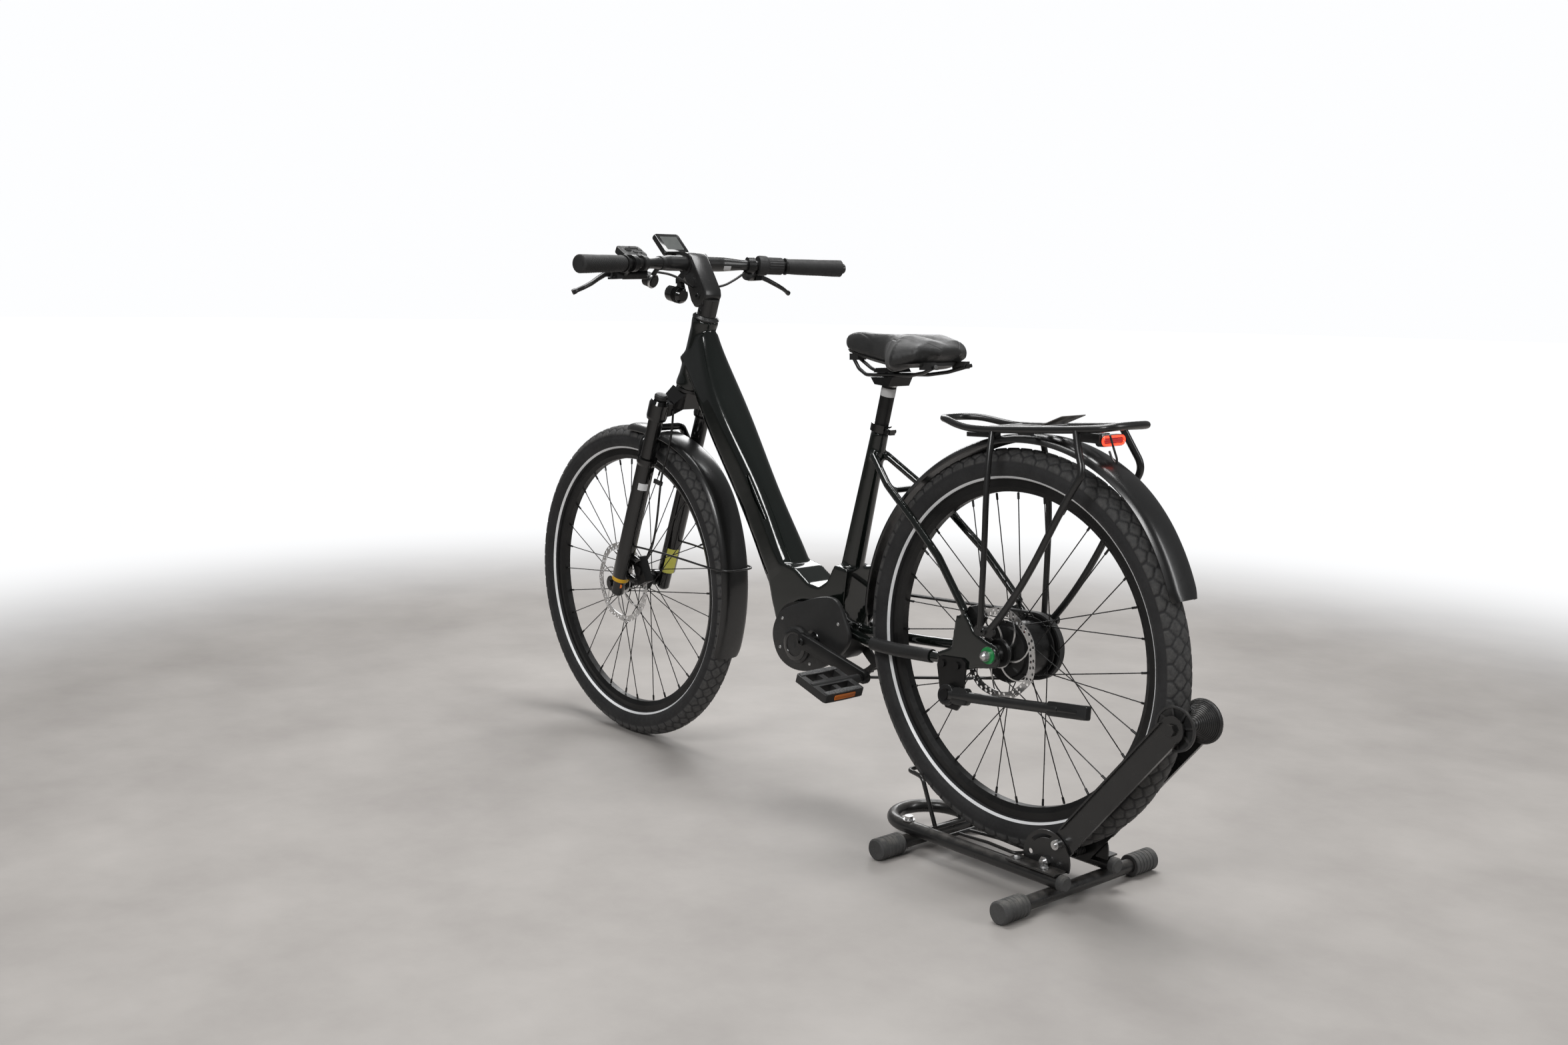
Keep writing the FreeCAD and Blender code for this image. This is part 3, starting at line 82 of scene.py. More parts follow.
def steer(s, y, f):
    """Point s up the steering axis from hub height, y to the left and f ahead of it, in millimetres."""
    return STEER_FOOT + STEER * (s / 1000) + LEFT * (y / 1000) + AHEAD * (f / 1000)


def axes(origin, up, ahead=(0, 0, 1)):
    """Matrix whose Z runs along up, at origin, with X as near to ahead as it can be."""
    z = Vector(up).normalized()
    x = Vector(ahead) - z * z.dot(Vector(ahead))
    if x.length < 1e-6:
        x = z.orthogonal()
    x.normalize()
    y = z.cross(x)
    m = Matrix((x, y, z)).transposed().to_4x4()
    m.translation = Vector(origin)
    return m


# ---------------------------------------------------------------- materials

class Graph:
    """A material's node tree, built a node at a time."""

    def __init__(self, name):
        self.material = bpy.data.materials.new(name)
        self.material.use_nodes = True
        self.tree = self.material.node_tree
        self.tree.nodes.clear()
        self.out = self.tree.nodes.new("ShaderNodeOutputMaterial")
        self.place = self.add("ShaderNodeTexCoord").outputs["Object"]

    def add(self, kind, inputs=None, **settings):
        n = self.tree.nodes.new(kind)
        for key, value in settings.items():
            setattr(n, key, value)
        for key, value in (inputs or {}).items():
            self.set(n.inputs[key], value)
        return n

    def set(self, socket, value):
        if isinstance(value, bpy.types.NodeSocket):
            self.tree.links.new(value, socket)
        else:
            socket.default_value = value

    def noise(self, scale, detail=4.0, rough=0.55, stretch=None):
        place = self.place
        if stretch:
            place = self.add("ShaderNodeMapping", {"Vector": place, "Scale": stretch}).outputs[0]
        return self.add("ShaderNodeTexNoise", {"Vector": place, "Scale": scale, "Detail": detail,
                                               "Roughness": rough}).outputs[0]

    def math(self, op, a, b=0.0, clamp=False):
        return self.add("ShaderNodeMath", {0: a, 1: b}, operation=op, use_clamp=clamp).outputs[0]

    def ramp(self, value, low, high, a=0.0, b=1.0):
        n = self.add("ShaderNodeMapRange", {"Value": value, "From Min": low, "From Max": high,
                                            "To Min": a, "To Max": b})
        return n.outputs["Result"]

    def mix(self, share, a, b):
        n = self.add("ShaderNodeMix", data_type="RGBA")
        self.set(n.inputs[0], share)
        self.set(n.inputs[6], a)
        self.set(n.inputs[7], b)
        return n.outputs[2]

    def bump(self, height, strength, distance, under=None):
        inputs = {"Height": height, "Strength": strength, "Distance": distance}
        if under is not None:
            inputs["Normal"] = under
        return self.add("ShaderNodeBump", inputs).outputs[0]

    def upward(self):
        """1 on faces that look up, 0 on the others."""
        normal = self.add("ShaderNodeNewGeometry").outputs["Normal"]
        z = self.add("ShaderNodeSeparateXYZ", {0: normal}).outputs[2]
        return self.ramp(z, 0.35, 0.95)

    def surface(self, inputs):
        n = self.add("ShaderNodeBsdfPrincipled", inputs)
        self.tree.links.new(n.outputs[0], self.out.inputs["Surface"])
        return self.material


def grey(v, tint=(1, 1, 1)):
    return (v * tint[0], v * tint[1], v * tint[2], 1)


def coloured(name, dark, light, rough, metal=0.0, patches=14.0, grain=1800.0, bump=0.08, depth=0.0002,
             spread=0.1, dust=0.0, dust_colour=(0.30, 0.28, 0.25, 1), extra=None, stretch=None):
    """Surface with slow colour patches, fine grain in the bump, uneven roughness and dust on top."""
    g = Graph(name)
    slow = g.ramp(g.noise(patches, 5.0), 0.35, 0.65)
    colour = g.mix(slow, dark, light)
    fine = g.noise(grain, 3.0, 0.6, stretch)
    roughness = g.ramp(g.noise(patches * 9, 6.0, 0.65), 0.3, 0.7, max(rough - spread, 0.02), rough + spread)
    if dust:
        share = g.math("MULTIPLY", g.upward(), g.ramp(g.noise(45.0, 7.0, 0.7), 0.42, 0.75, 0.0, dust))
        speck = g.ramp(g.noise(900.0, 2.0), 0.66, 0.74, 0.0, dust)
        share = g.math("MAXIMUM", share, speck, True)
        colour = g.mix(share, colour, dust_colour)
        roughness = g.math("ADD", roughness, g.math("MULTIPLY", share, 0.35), True)
    inputs = {"Base Color": colour, "Roughness": roughness, "Metallic": metal,
              "Normal": g.bump(fine, bump, depth)}
    inputs.update(extra or {})
    return g.surface(inputs)


def paint(name, base, flake, rough=0.16, coat=1.0):
    """Glossy lacquer: flakes in the base, a clear coat, and a faint orange-peel ripple."""
    g = Graph(name)
    flakes = g.ramp(g.noise(5200.0, 2.0, 0.5), 0.5, 0.72)
    colour = g.mix(flakes, base, flake)
    ripple = g.bump(g.noise(190.0, 2.0, 0.4), 0.035, 0.0006)
    smear = g.ramp(g.noise(22.0, 6.0, 0.7), 0.35, 0.75, rough - 0.04, rough + 0.08)
    return g.surface({"Base Color": colour, "Roughness": smear, "Metallic": 0.12, "Normal": ripple,
                      "Specular IOR Level": 0.25,
                      "Coat Weight": coat, "Coat Roughness": 0.035, "Coat IOR": 1.5})


def scuffed(name, base, bare, rough):
    """Stand paint: gloss black, dulled and scratched, with dust on top."""
    g = Graph(name)
    scratch = g.ramp(g.noise(60.0, 8.0, 0.75, (1.0, 9.0, 9.0)), 0.64, 0.70)
    scratch = g.math("MULTIPLY", scratch, g.ramp(g.noise(9.0, 3.0), 0.5, 0.62))
    share = g.math("MULTIPLY", g.upward(), g.ramp(g.noise(30.0, 8.0, 0.75), 0.42, 0.7, 0.05, 0.42))
    colour = g.mix(share, g.mix(g.math("MULTIPLY", scratch, 0.6), base, bare), (0.23, 0.21, 0.19, 1))
    roughness = g.math("ADD", g.ramp(g.noise(40.0, 6.0), 0.3, 0.7, rough - 0.08, rough + 0.14),
                       g.math("MULTIPLY", share, 0.5), True)
    return g.surface({"Base Color": colour, "Roughness": roughness,
                      "Normal": g.bump(g.noise(420.0, 4.0), 0.12, 0.0004), "Coat Weight": 0.35,
                      "Coat Roughness": 0.12})


def leather(name):
    g = Graph(name)
    cells = g.add("ShaderNodeTexVoronoi", {"Vector": g.place, "Scale": 620.0, "Randomness": 0.9},
                  feature="DISTANCE_TO_EDGE").outputs["Distance"]
    pores = g.ramp(cells, 0.0, 0.28)
    wrinkle = g.noise(85.0, 5.0, 0.6)
    height = g.math("ADD", g.math("MULTIPLY", pores, 0.7), g.math("MULTIPLY", wrinkle, 0.6))
    colour = g.mix(g.ramp(g.noise(16.0, 4.0), 0.35, 0.65), grey(0.016), grey(0.026))
    colour = g.mix(pores, grey(0.010), colour)
    return g.surface({"Base Color": colour, "Roughness": g.ramp(wrinkle, 0.3, 0.7, 0.40, 0.54),
                      "Normal": g.bump(height, 0.28, 0.0004), "Sheen Weight": 0.08, "Sheen Roughness": 0.5})


def tyre_rubber(name):
    """Rubber, paler and dustier on the block faces and darker in the grooves, which take the sidewall's tone as
    painted shade; block height is in the mesh's relief attribute.
    """
    g = Graph(name)
    relief = g.add("ShaderNodeAttribute", attribute_name="relief").outputs["Fac"]
    worn = g.ramp(g.noise(130.0, 7.0, 0.7), 0.32, 0.72)
    tops = g.mix(worn, (0.026, 0.026, 0.027, 1), (0.085, 0.083, 0.080, 1))
    # The sidewall tone below also fills the tread grooves through relief, as painted shade.
    side = g.mix(g.ramp(g.noise(18.0, 5.0), 0.35, 0.65), (0.009, 0.009, 0.010, 1), (0.018, 0.018, 0.019, 1))
    colour = g.mix(relief, side, tops)
    lines = g.noise(700.0, 3.0, 0.6)
    return g.surface({"Base Color": colour, "Roughness": g.ramp(worn, 0.0, 1.0, 0.62, 0.82),
                      "Normal": g.bump(lines, 0.18, 0.0003), "Sheen Weight": 0.05})


def brushed(name, tone, rough, centre=None):
    """Bare metal with fine lines, turned round a Y axis at centre, or along X without one."""
    g = Graph(name)
    if centre is None:
        lines = g.noise(300.0, 4.0, 0.6, (1.0, 22.0, 22.0))
    else:
        p = g.add("ShaderNodeSeparateXYZ", {0: g.place}).outputs
        dx = g.math("SUBTRACT", p[0], centre.x)
        dz = g.math("SUBTRACT", p[2], centre.z)
        r = g.math("SQRT", g.math("ADD", g.math("MULTIPLY", dx, dx), g.math("MULTIPLY", dz, dz)))
        rings = g.add("ShaderNodeCombineXYZ", {0: g.math("MULTIPLY", r, 60.0), 1: p[1]}).outputs[0]
        lines = g.add("ShaderNodeTexNoise", {"Vector": rings, "Scale": 60.0, "Detail": 5.0}).outputs[0]
    colour = g.mix(g.ramp(g.noise(35.0, 5.0), 0.35, 0.65), grey(tone * 0.82), grey(tone))
    return g.surface({"Base Color": colour, "Metallic": 1.0,
                      "Roughness": g.ramp(lines, 0.3, 0.7, rough - 0.08, rough + 0.12),
                      "Normal": g.bump(lines, 0.10, 0.0002)})


def glowing(name, colour, strength, rough=0.2):
    g = Graph(name)
    cells = g.add("ShaderNodeTexVoronoi", {"Vector": g.place, "Scale": 520.0}).outputs["Distance"]
    tone = g.mix(g.ramp(cells, 0.0, 0.8), colour, tuple(c * 0.75 for c in colour[:3]) + (1,))
    return g.surface({"Base Color": tone, "Roughness": rough, "Emission Color": tone,
                      "Emission Strength": strength, "Coat Weight": 0.8, "Coat Roughness": 0.05})


def reflector(name, colour, rough=0.25):
    g = Graph(name)
    prisms = g.add("ShaderNodeTexVoronoi", {"Vector": g.place, "Scale": 620.0, "Randomness": 0.05},
                   feature="F1").outputs["Distance"]
    tone = g.mix(g.ramp(prisms, 0.1, 0.7), colour, tuple(c * 0.45 for c in colour[:3]) + (1,))
    return g.surface({"Base Color": tone, "Roughness": rough, "Normal": g.bump(prisms, 0.5, 0.0006),
                      "Coat Weight": 0.7, "Coat Roughness": 0.04})


def liquid_crystal(name):
    """A dim display: dark bars on a grey-green ground under glass, with no lettering."""
    g = Graph(name)
    ground = g.mix(g.ramp(g.noise(60.0, 3.0), 0.3, 0.7), (0.040, 0.046, 0.043, 1), (0.060, 0.067, 0.062, 1))
    pixels = g.add("ShaderNodeTexVoronoi", {"Vector": g.place, "Scale": 1900.0, "Randomness": 0.0})
    colour = g.mix(g.ramp(pixels.outputs["Distance"], 0.3, 0.6, 0.0, 0.3), ground, grey(0.03))
    return g.surface({"Base Color": colour, "Roughness": 0.35, "Coat Weight": 1.0, "Coat Roughness": 0.03})


MATERIALS = {
    "frame_paint": paint("lacquer_black_green", (0.0030, 0.0042, 0.0036, 1), (0.012, 0.018, 0.014, 1)),
    "gloss_black": paint("lacquer_black", grey(0.0045), grey(0.008), 0.14),
    "satin_black": coloured("satin_black", grey(0.009), grey(0.014), 0.32, 0.0, bump=0.05, spread=0.05,
                            extra={"Coat Weight": 0.25, "Coat Roughness": 0.2}),
    "black_alloy": coloured("anodised_black", grey(0.014), grey(0.022), 0.36, 0.55, grain=2600.0, bump=0.08),
    "silver_alloy": brushed("satin_alloy", 0.72, 0.26),
    "steel": brushed("bright_steel", 0.66, 0.28),
    "stand_paint": scuffed("stand_paint", grey(0.010), grey(0.16), 0.30),
    "cap_rubber": coloured("dusty_rubber", grey(0.045), grey(0.085), 0.78, grain=700.0, bump=0.25,
                           depth=0.0005,
                           dust=0.75, dust_colour=(0.26, 0.245, 0.22, 1)),
    "grip_rubber": coloured("grip_rubber", grey(0.011), grey(0.018), 0.66, grain=1500.0, bump=0.2,
                            depth=0.0003),
    "tyre_rubber": tyre_rubber("tyre_rubber"),
    "mudguard_plastic": coloured("mudguard_black", grey(0.008), grey(0.011), 0.30, patches=9.0, grain=900.0,
                                 bump=0.02, spread=0.03, extra={"Coat Weight": 0.35, "Coat Roughness": 0.16}),
    "black_plastic": coloured("moulded_black", grey(0.013), grey(0.019), 0.46, grain=2400.0, bump=0.16),
    "gloss_plastic": coloured("gloss_black_plastic", grey(0.007), grey(0.010), 0.14, grain=900.0, bump=0.02,
                              spread=0.05, extra={"Coat Weight": 0.6, "Coat Roughness": 0.05}),
    "roller_plastic": coloured("roller_plastic", grey(0.016), grey(0.03), 0.40, grain=800.0, bump=0.12,
                               dust=0.35),
    "saddle_cover": leather("saddle_leather"),
    "fork_amber": coloured("fork_amber", (0.70, 0.16, 0.02, 1), (0.80, 0.22, 0.03, 1), 0.35),
    "red_lens": reflector("red_lens", (0.42, 0.008, 0.008, 1), 0.12),
    "belt": coloured("belt_rubber", grey(0.012), grey(0.02), 0.62, grain=1200.0, bump=0.2),
    "black_spoke": coloured("black_spoke", grey(0.03), grey(0.05), 0.30, 0.9, grain=2200.0, bump=0.04),
    "reflective_white": coloured("reflective_white", (0.78, 0.79, 0.80, 1), (0.90, 0.91, 0.92, 1), 0.34,
                                 grain=2600.0, bump=0.06),
    "rotor_front": brushed("rotor_front", 0.78, 0.24, FRONT),
    "rotor_rear": brushed("rotor_rear", 0.70, 0.24, REAR),
    "amber": reflector("amber_reflector", (0.80, 0.20, 0.015, 1)),
    "tail_glow": glowing("tail_glow", (1.0, 0.060, 0.025, 1), 2.2),
    "tail_core": glowing("tail_core", (0.55, 0.03, 0.03, 1), 0.5),
    "screen": liquid_crystal("screen"),
    "yellow_band": coloured("yellow_band", (0.72, 0.40, 0.01, 1), (0.80, 0.47, 0.02, 1), 0.42, grain=900.0),
    "lime_label": coloured("lime_label", (0.55, 0.53, 0.09, 1), (0.65, 0.62, 0.14, 1), 0.5, grain=900.0),
    "pale_label": coloured("pale_label", grey(0.48), grey(0.62), 0.42, grain=900.0),
    "green_washer": coloured("green_washer", (0.008, 0.23, 0.055, 1), (0.012, 0.30, 0.075, 1), 0.34),
    "red_accent": coloured("red_accent", (0.50, 0.018, 0.012, 1), (0.62, 0.028, 0.018, 1), 0.35),
    "grit": coloured("pedal_grit", grey(0.03), grey(0.15), 0.85, patches=420.0, grain=1500.0, bump=0.6,
                     depth=0.0008),
    "flap": coloured("rack_flap", (0.125, 0.118, 0.112, 1), (0.19, 0.18, 0.17, 1), 0.36, grain=900.0,
                     bump=0.05),
    "lamp_lens": coloured("lamp_lens", (0.5, 0.52, 0.53, 1), (0.66, 0.68, 0.69, 1), 0.10, grain=500.0,
                          bump=0.3,
                          extra={"Coat Weight": 1.0, "Coat Roughness": 0.03}),
}
NODE_LOOKS = {"front_spokes": "black_spoke", "rear_spokes": "black_spoke", "front_rotor": "rotor_front",
              "rear_rotor": "rotor_rear", "left_lever": "satin_black", "right_lever": "satin_black",
              "fork_lower": "gloss_black", "fork_upper": "gloss_black", "seat_clamp": "gloss_black",
              "saddle_rails": "satin_black", "stand_spring": "black_spoke", "battery": "frame_paint",
              "tail_light": "black_plastic"}

for subpart in frame["record"]["subparts"]:
    node = NODES[subpart["node"]]
    node.data.materials.clear()
    node.data.materials.append(MATERIALS[NODE_LOOKS.get(subpart["node"], subpart["material_slot"])])


# ---------------------------------------------------------------- mesh tools

def crease(mesh, angle=35.0):
    """Smooth shading, broken at edges sharper than angle."""
    limit = math.radians(angle)
    bm = bmesh.new()
    bm.from_mesh(mesh)
    for f in bm.faces:
        f.smooth = True
    for e in bm.edges:
        e.smooth = not (len(e.link_faces) == 2 and e.calc_face_angle(0) > limit)
    bm.to_mesh(mesh)
    bm.free()


def piece(name, bm, look, body, angle=35.0, round_off=0.0, replaces=()):
    """Turns bm, already in the frame, into a piece that rides on body."""
    bmesh.ops.remove_doubles(bm, verts=bm.verts, dist=1e-7)
    bmesh.ops.recalc_face_normals(bm, faces=bm.faces)
    mesh = bpy.data.meshes.new(name)
    bm.to_mesh(mesh)
    bm.free()
    obj = bpy.data.objects.new(name, mesh)
    bpy.context.scene.collection.objects.link(obj)
    if round_off:
        bevel = obj.modifiers.new("bevel", "BEVEL")
        bevel.width = round_off
        bevel.segments = 2
        bevel.limit_method = "ANGLE"
        bevel.angle_limit = math.radians(32)
        bake(obj)
    crease(obj.data, angle)
    mesh = obj.data
    mesh.materials.append(MATERIALS[look])
    if body:
        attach(obj, body)
    if replaces:
        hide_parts(*replaces)
    return obj


def bake(obj):
    """Applies all of obj's modifiers."""
    graph = bpy.context.evaluated_depsgraph_get()
    mesh = bpy.data.meshes.new_from_object(obj.evaluated_get(graph))
    obj.modifiers.clear()
    obj.data = mesh


def full_turn(n):
    """n angles evenly round a full turn."""
    return np.linspace(0, 2 * math.pi, n, endpoint=False)


def circle(bm, matrix, r, h, n):
    """Ring of n vertices of radius r at height h along matrix's Z, in millimetres."""
    return [bm.verts.new(matrix @ Vector((r / 1000 * math.cos(a), r / 1000 * math.sin(a), h / 1000)))
            for a in full_turn(n)]


def skin(bm, rings, closed=False):
    """Quads between each ring of vertices and the next."""
    for p, q in zip(rings, rings[1:] + rings[:1] if closed else rings[1:]):
        for i in range(len(p)):
            j = (i + 1) % len(p)
            bm.faces.new([p[i], p[j], q[j], q[i]])


def lathe(profile, matrix, segments=64, bm=None, closed=False):
    """Turns (radius, height) points in millimetres about matrix's Z."""
    bm = bm or bmesh.new()
    rings = []
    for r, h in profile:
        if r < 1e-6:
            rings.append([bm.verts.new(matrix @ Vector((0, 0, h / 1000)))])
            continue
        rings.append(circle(bm, matrix, r, h, segments))
    pairs = list(zip(rings, rings[1:]))
    if closed:
        pairs.append((rings[-1], rings[0]))
    for a, b in pairs:
        for i in range(segments):
            j = (i + 1) % segments
            corners = [a[i % len(a)], a[j % len(a)], b[j % len(b)], b[i % len(b)]]
            unique = list(dict.fromkeys(corners))
            if len(unique) > 2:
                bm.faces.new(unique)
    return bm


def slab(outline, matrix, low, high, bm=None):
    """Outline of (x, y) millimetres in matrix's XY plane, thickened from low to high along its Z."""
    bm = bm or bmesh.new()
    rings = [[bm.verts.new(matrix @ Vector((x / 1000, y / 1000, h / 1000))) for x, y in outline]
             for h in (low, high)]
    bm.faces.new(rings[0][::-1])
    bm.faces.new(rings[1])
    skin(bm, rings)
    return bm


def rounded(width, height, corner, steps=6):
    """Rounded rectangle outline about the origin."""
    points = []
    for cx, cy, start in ((1, 1, 0), (-1, 1, 90), (-1, -1, 180), (1, -1, 270)):
        for i in range(steps + 1):
            a = math.radians(start + 90 * i / steps)
            points.append((cx * (width / 2 - corner) + corner * math.cos(a),
                           cy * (height / 2 - corner) + corner * math.sin(a)))
    return points


def tube(points, radius, cyclic=False, bm=None, order=3):
    """Round tube along a smooth curve through frame points; radius is in millimetres."""
    curve = bpy.data.curves.new("path", "CURVE")
    curve.dimensions = "3D"
    curve.bevel_depth = radius / 1000
    curve.bevel_resolution = 4
    curve.resolution_u = 10
    curve.use_fill_caps = not cyclic
    spline = curve.splines.new("NURBS")
    spline.points.add(len(points) - 1)
    for p, q in zip(spline.points, points):
        p.co = (*q, 1)
    spline.order_u = order
    spline.use_cyclic_u = cyclic
    spline.use_endpoint_u = not cyclic
    temp = bpy.data.objects.new("path", curve)
    bpy.context.scene.collection.objects.link(temp)
    bpy.context.view_layer.update()
    mesh = bpy.data.meshes.new_from_object(temp.evaluated_get(bpy.context.evaluated_depsgraph_get()))
    bpy.data.objects.remove(temp)
    bm = bm or bmesh.new()
    bm.from_mesh(mesh)
    return bm


def bolt_head(matrix, radius, bm=None):
    """Button-head screw with a six-sided socket, its foot on matrix's XY plane."""
    r = radius
    bm = lathe([(0, -0.2), (r, -0.2), (r, r * 0.35), (r * 0.8, r * 0.62), (r * 0.52, r * 0.7)], matrix, 24,
               bm)
    rim = circle(bm, matrix, r * 0.52, r * 0.7, 24)
    hexagon = circle(bm, matrix, r * 0.46, r * 0.7, 6) + circle(bm, matrix, r * 0.46, r * 0.2, 6)
    for i in range(6):
        j = (i + 1) % 6
        k = [rim[(i * 4 + n) % 24] for n in range(5)]
        bm.faces.new([*k, hexagon[j], hexagon[i]])
        bm.faces.new([hexagon[i], hexagon[j], hexagon[6 + j], hexagon[6 + i]])
    bm.faces.new(hexagon[6:])
    return bm


# ---------------------------------------------------------------- frame

def blended_frame():
    """The frame's two welded CAD nodes as one skin whose joints flow into each other."""
    bm = bmesh.new()
    for name in ("main_frame", "rear_triangle"):
        bm.from_mesh(NODES[name].data)
    mesh = bpy.data.meshes.new("frame_skin")
    bm.to_mesh(mesh)
    bm.free()
    obj = bpy.data.objects.new("frame_skin", mesh)
    bpy.context.scene.collection.objects.link(obj)
    remesh = obj.modifiers.new("remesh", "REMESH")
    remesh.mode = "VOXEL"
    remesh.voxel_size = 0.0026
    relax = obj.modifiers.new("relax", "SMOOTH")
    relax.iterations = 9
    smooth = obj.modifiers.new("smooth", "LAPLACIANSMOOTH")
    smooth.iterations = 5
    smooth.lambda_factor = 1.2
    smooth.use_volume_preserve = True
    bake(obj)
    obj.data.materials.clear()
    obj.data.materials.append(MATERIALS["frame_paint"])
    crease(obj.data, 50.0)
    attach(obj, "bicycle")
    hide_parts("main_frame", "rear_triangle")
    return obj


blended_frame()

# ---------------------------------------------------------------- tyres

TYRE_CENTRE = 320.4
CARCASS_R = 27.5
BLOCK = 2.05
CELLS = 76
ROWS = 5
ROW_STEP = 15.5


def block_height(around, across):
    """Height from 0 to 1 of the six-sided tread blocks at arc lengths in millimetres."""
    pitch = 2 * math.pi * 350.0 / CELLS
    nearest = np.full(around.shape, 1e9)
    second = np.full(around.shape, 1e9)
    for row in range(-(ROWS // 2), ROWS // 2 + 1):
        shift = 0.5 * pitch if row % 2 else 0.0
        for step in (-1, 0, 1):
            centre = (np.round((around - shift) / pitch) + step) * pitch + shift
            d = np.hypot((around - centre) * 0.86, across - row * ROW_STEP)
            second = np.minimum(second, np.maximum(nearest, d))
            nearest = np.minimum(nearest, d)
    gap = np.clip((second - nearest - 1.6) / 2.6, 0, 1)
    edge = (ROWS // 2 + 0.5) * ROW_STEP
    skirt = np.clip((edge - np.abs(across)) / 2.5, 0, 1)
    return np.minimum(gap * gap * (3 - 2 * gap), skirt)


def tyre(name, hub, body):
    around_n, across_n = 76 * 13, 64
    half = math.radians(143)
    turn = full_turn(around_n)
    phi = np.linspace(-half, half, across_n)
    t, p = np.meshgrid(turn, phi, indexing="ij")
    h = block_height(t * 350.0, p * (CARCASS_R + BLOCK))
    ribs = 0.25 * np.clip(np.cos(np.abs(p) * 58.0), 0, 1) * (np.abs(p) > 1.55) * (np.abs(p) < 2.1)
    r = CARCASS_R + BLOCK * h + ribs
    radial = TYRE_CENTRE + r * np.cos(p)
    y = r * np.sin(p)
    bead = 296.5
    radial = np.concatenate([np.full((around_n, 1), bead), radial, np.full((around_n, 1), bead)], axis=1)
    y = np.concatenate([np.full((around_n, 1), -11.0), y, np.full((around_n, 1), 11.0)], axis=1)
    relief = np.pad(h, ((0, 0), (1, 1)))
    t = np.pad(t, ((0, 0), (1, 1)), mode="edge")
    co = np.stack([hub.x + radial * np.cos(t) / 1000, y / 1000, hub.z + radial * np.sin(t) / 1000], axis=-1)
    n, m = co.shape[:2]
    index = np.arange(n * m).reshape(n, m)
    follow = np.roll(index, -1, axis=0)
    quads = np.stack([index[:, :-1], index[:, 1:], follow[:, 1:], follow[:, :-1]], axis=-1).reshape(-1, 4)
    closing = np.stack([index[:, -1], index[:, 0], follow[:, 0], follow[:, -1]], axis=-1)
    mesh = bpy.data.meshes.new(name)
    mesh.from_pydata(co.reshape(-1, 3).tolist(), [], np.concatenate([quads, closing]).tolist())
    attribute = mesh.attributes.new("relief", "FLOAT", "POINT")
    attribute.data.foreach_set("value", relief.reshape(-1).astype(np.float32))
    mesh.materials.append(MATERIALS["tyre_rubber"])
    mesh.polygons.foreach_set("use_smooth", [True] * len(mesh.polygons))
    obj = bpy.data.objects.new(name, mesh)
    bpy.context.scene.collection.objects.link(obj)
    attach(obj, body)
    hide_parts(name.replace("_tread", "_tyre"))
    return obj


def stripe(name, hub, body, side):
    """Reflective band on the sidewall, a quarter of a millimetre proud of it."""
    profile = []
    for offset in (0.15, 0.45):
        row = [(TYRE_CENTRE + (CARCASS_R + offset) * math.cos(a), side * (CARCASS_R + offset) * math.sin(a))
               for a in np.radians(np.linspace(129.5, 141.0, 6))]
        profile += row if offset == 0.15 else row[::-1]
    bm = lathe(profile, axes(hub, LEFT, ALONG), 180, closed=True)
    return piece(name, bm, "reflective_white", body)


for end, hub in (("rear", REAR), ("front", FRONT)):
    tyre(end + "_tread", hub, end + "_wheel")
    for side, word in ((1, "left"), (-1, "right")):
        stripe(end + "_stripe_" + word, hub, end + "_wheel", side)


# ---------------------------------------------------------------- mudguards

def mudguard(name, hub, angles, radii, body, node):
    """Crowned blade with turned-down edges round a wheel; angles in degrees from straight ahead."""
    start, end = angles[0], angles[-1]
    turn = np.linspace(start, end, 121)
    middle = np.interp(turn, angles, radii)
    ends = np.pad(middle, 12, mode="edge")
    middle = np.convolve(ends, np.ones(25) / 25, mode="valid")
    across = np.linspace(-1, 1, 25)
    at = axes(hub, -LEFT, ALONG)
    bm = bmesh.new()
    rings = []
    for a, r in zip(np.radians(turn), middle):
        near_end = min(1.0, (math.degrees(a) - start + 0.3) / 3.0, (end - math.degrees(a) + 0.3) / 3.0)
        half = 34.5 * (0.80 + 0.20 * math.sqrt(max(near_end, 0.0)))
        line = []
        for thick in (1.2, -1.2):
            row = [(r + 1.0 + thick - 4.5 * u * u - 7.5 * abs(u) ** 9, (half + 0.5 * thick) * u)
                   for u in across]
            line += row if thick > 0 else row[::-1]
        rings.append([bm.verts.new(at @ Vector((q / 1000 * math.cos(a), q / 1000 * math.sin(a), y / 1000)))
                      for q, y in line])
    n = len(rings[0])
    skin(bm, rings)
    for row in (rings[0], rings[-1]):
        for i in range(n // 2 - 1):
            bm.faces.new([row[i], row[i + 1], row[n - 2 - i], row[n - 1 - i]])
    return piece(name, bm, "mudguard_plastic", body, 40.0, replaces=[node])


mudguard("rear_guard", REAR, [3, 28, 59, 80, 98, 118, 140, 160], [357, 360, 357, 367, 377, 387, 386, 366],
         "bicycle",
         "rear_mudguard")
mudguard("front_guard", FRONT, [94, 104, 121, 140, 158, 180, 202], [354, 356, 375, 390, 375, 360, 352],
         "lowers",
         "front_mudguard")
stay = tube([bike(*q) for q in ((1046, 62, 440), (1000, 60, 438), (900, 50, 427), (800, 44, 414),
                                (758, 38, 411),
                                (750, 0, 411), (758, -38, 411), (800, -44, 414), (900, -50, 427),
                                (1000, -60, 438),
                                (1046, -62, 440))], 2.2)
piece("front_guard_stay", stay, "satin_black", "lowers")

# ---------------------------------------------------------------- saddle

def smooth_step(v, low, high):
    t = np.clip((v - low) / (high - low), 0, 1)
    return t * t * (3 - 2 * t)


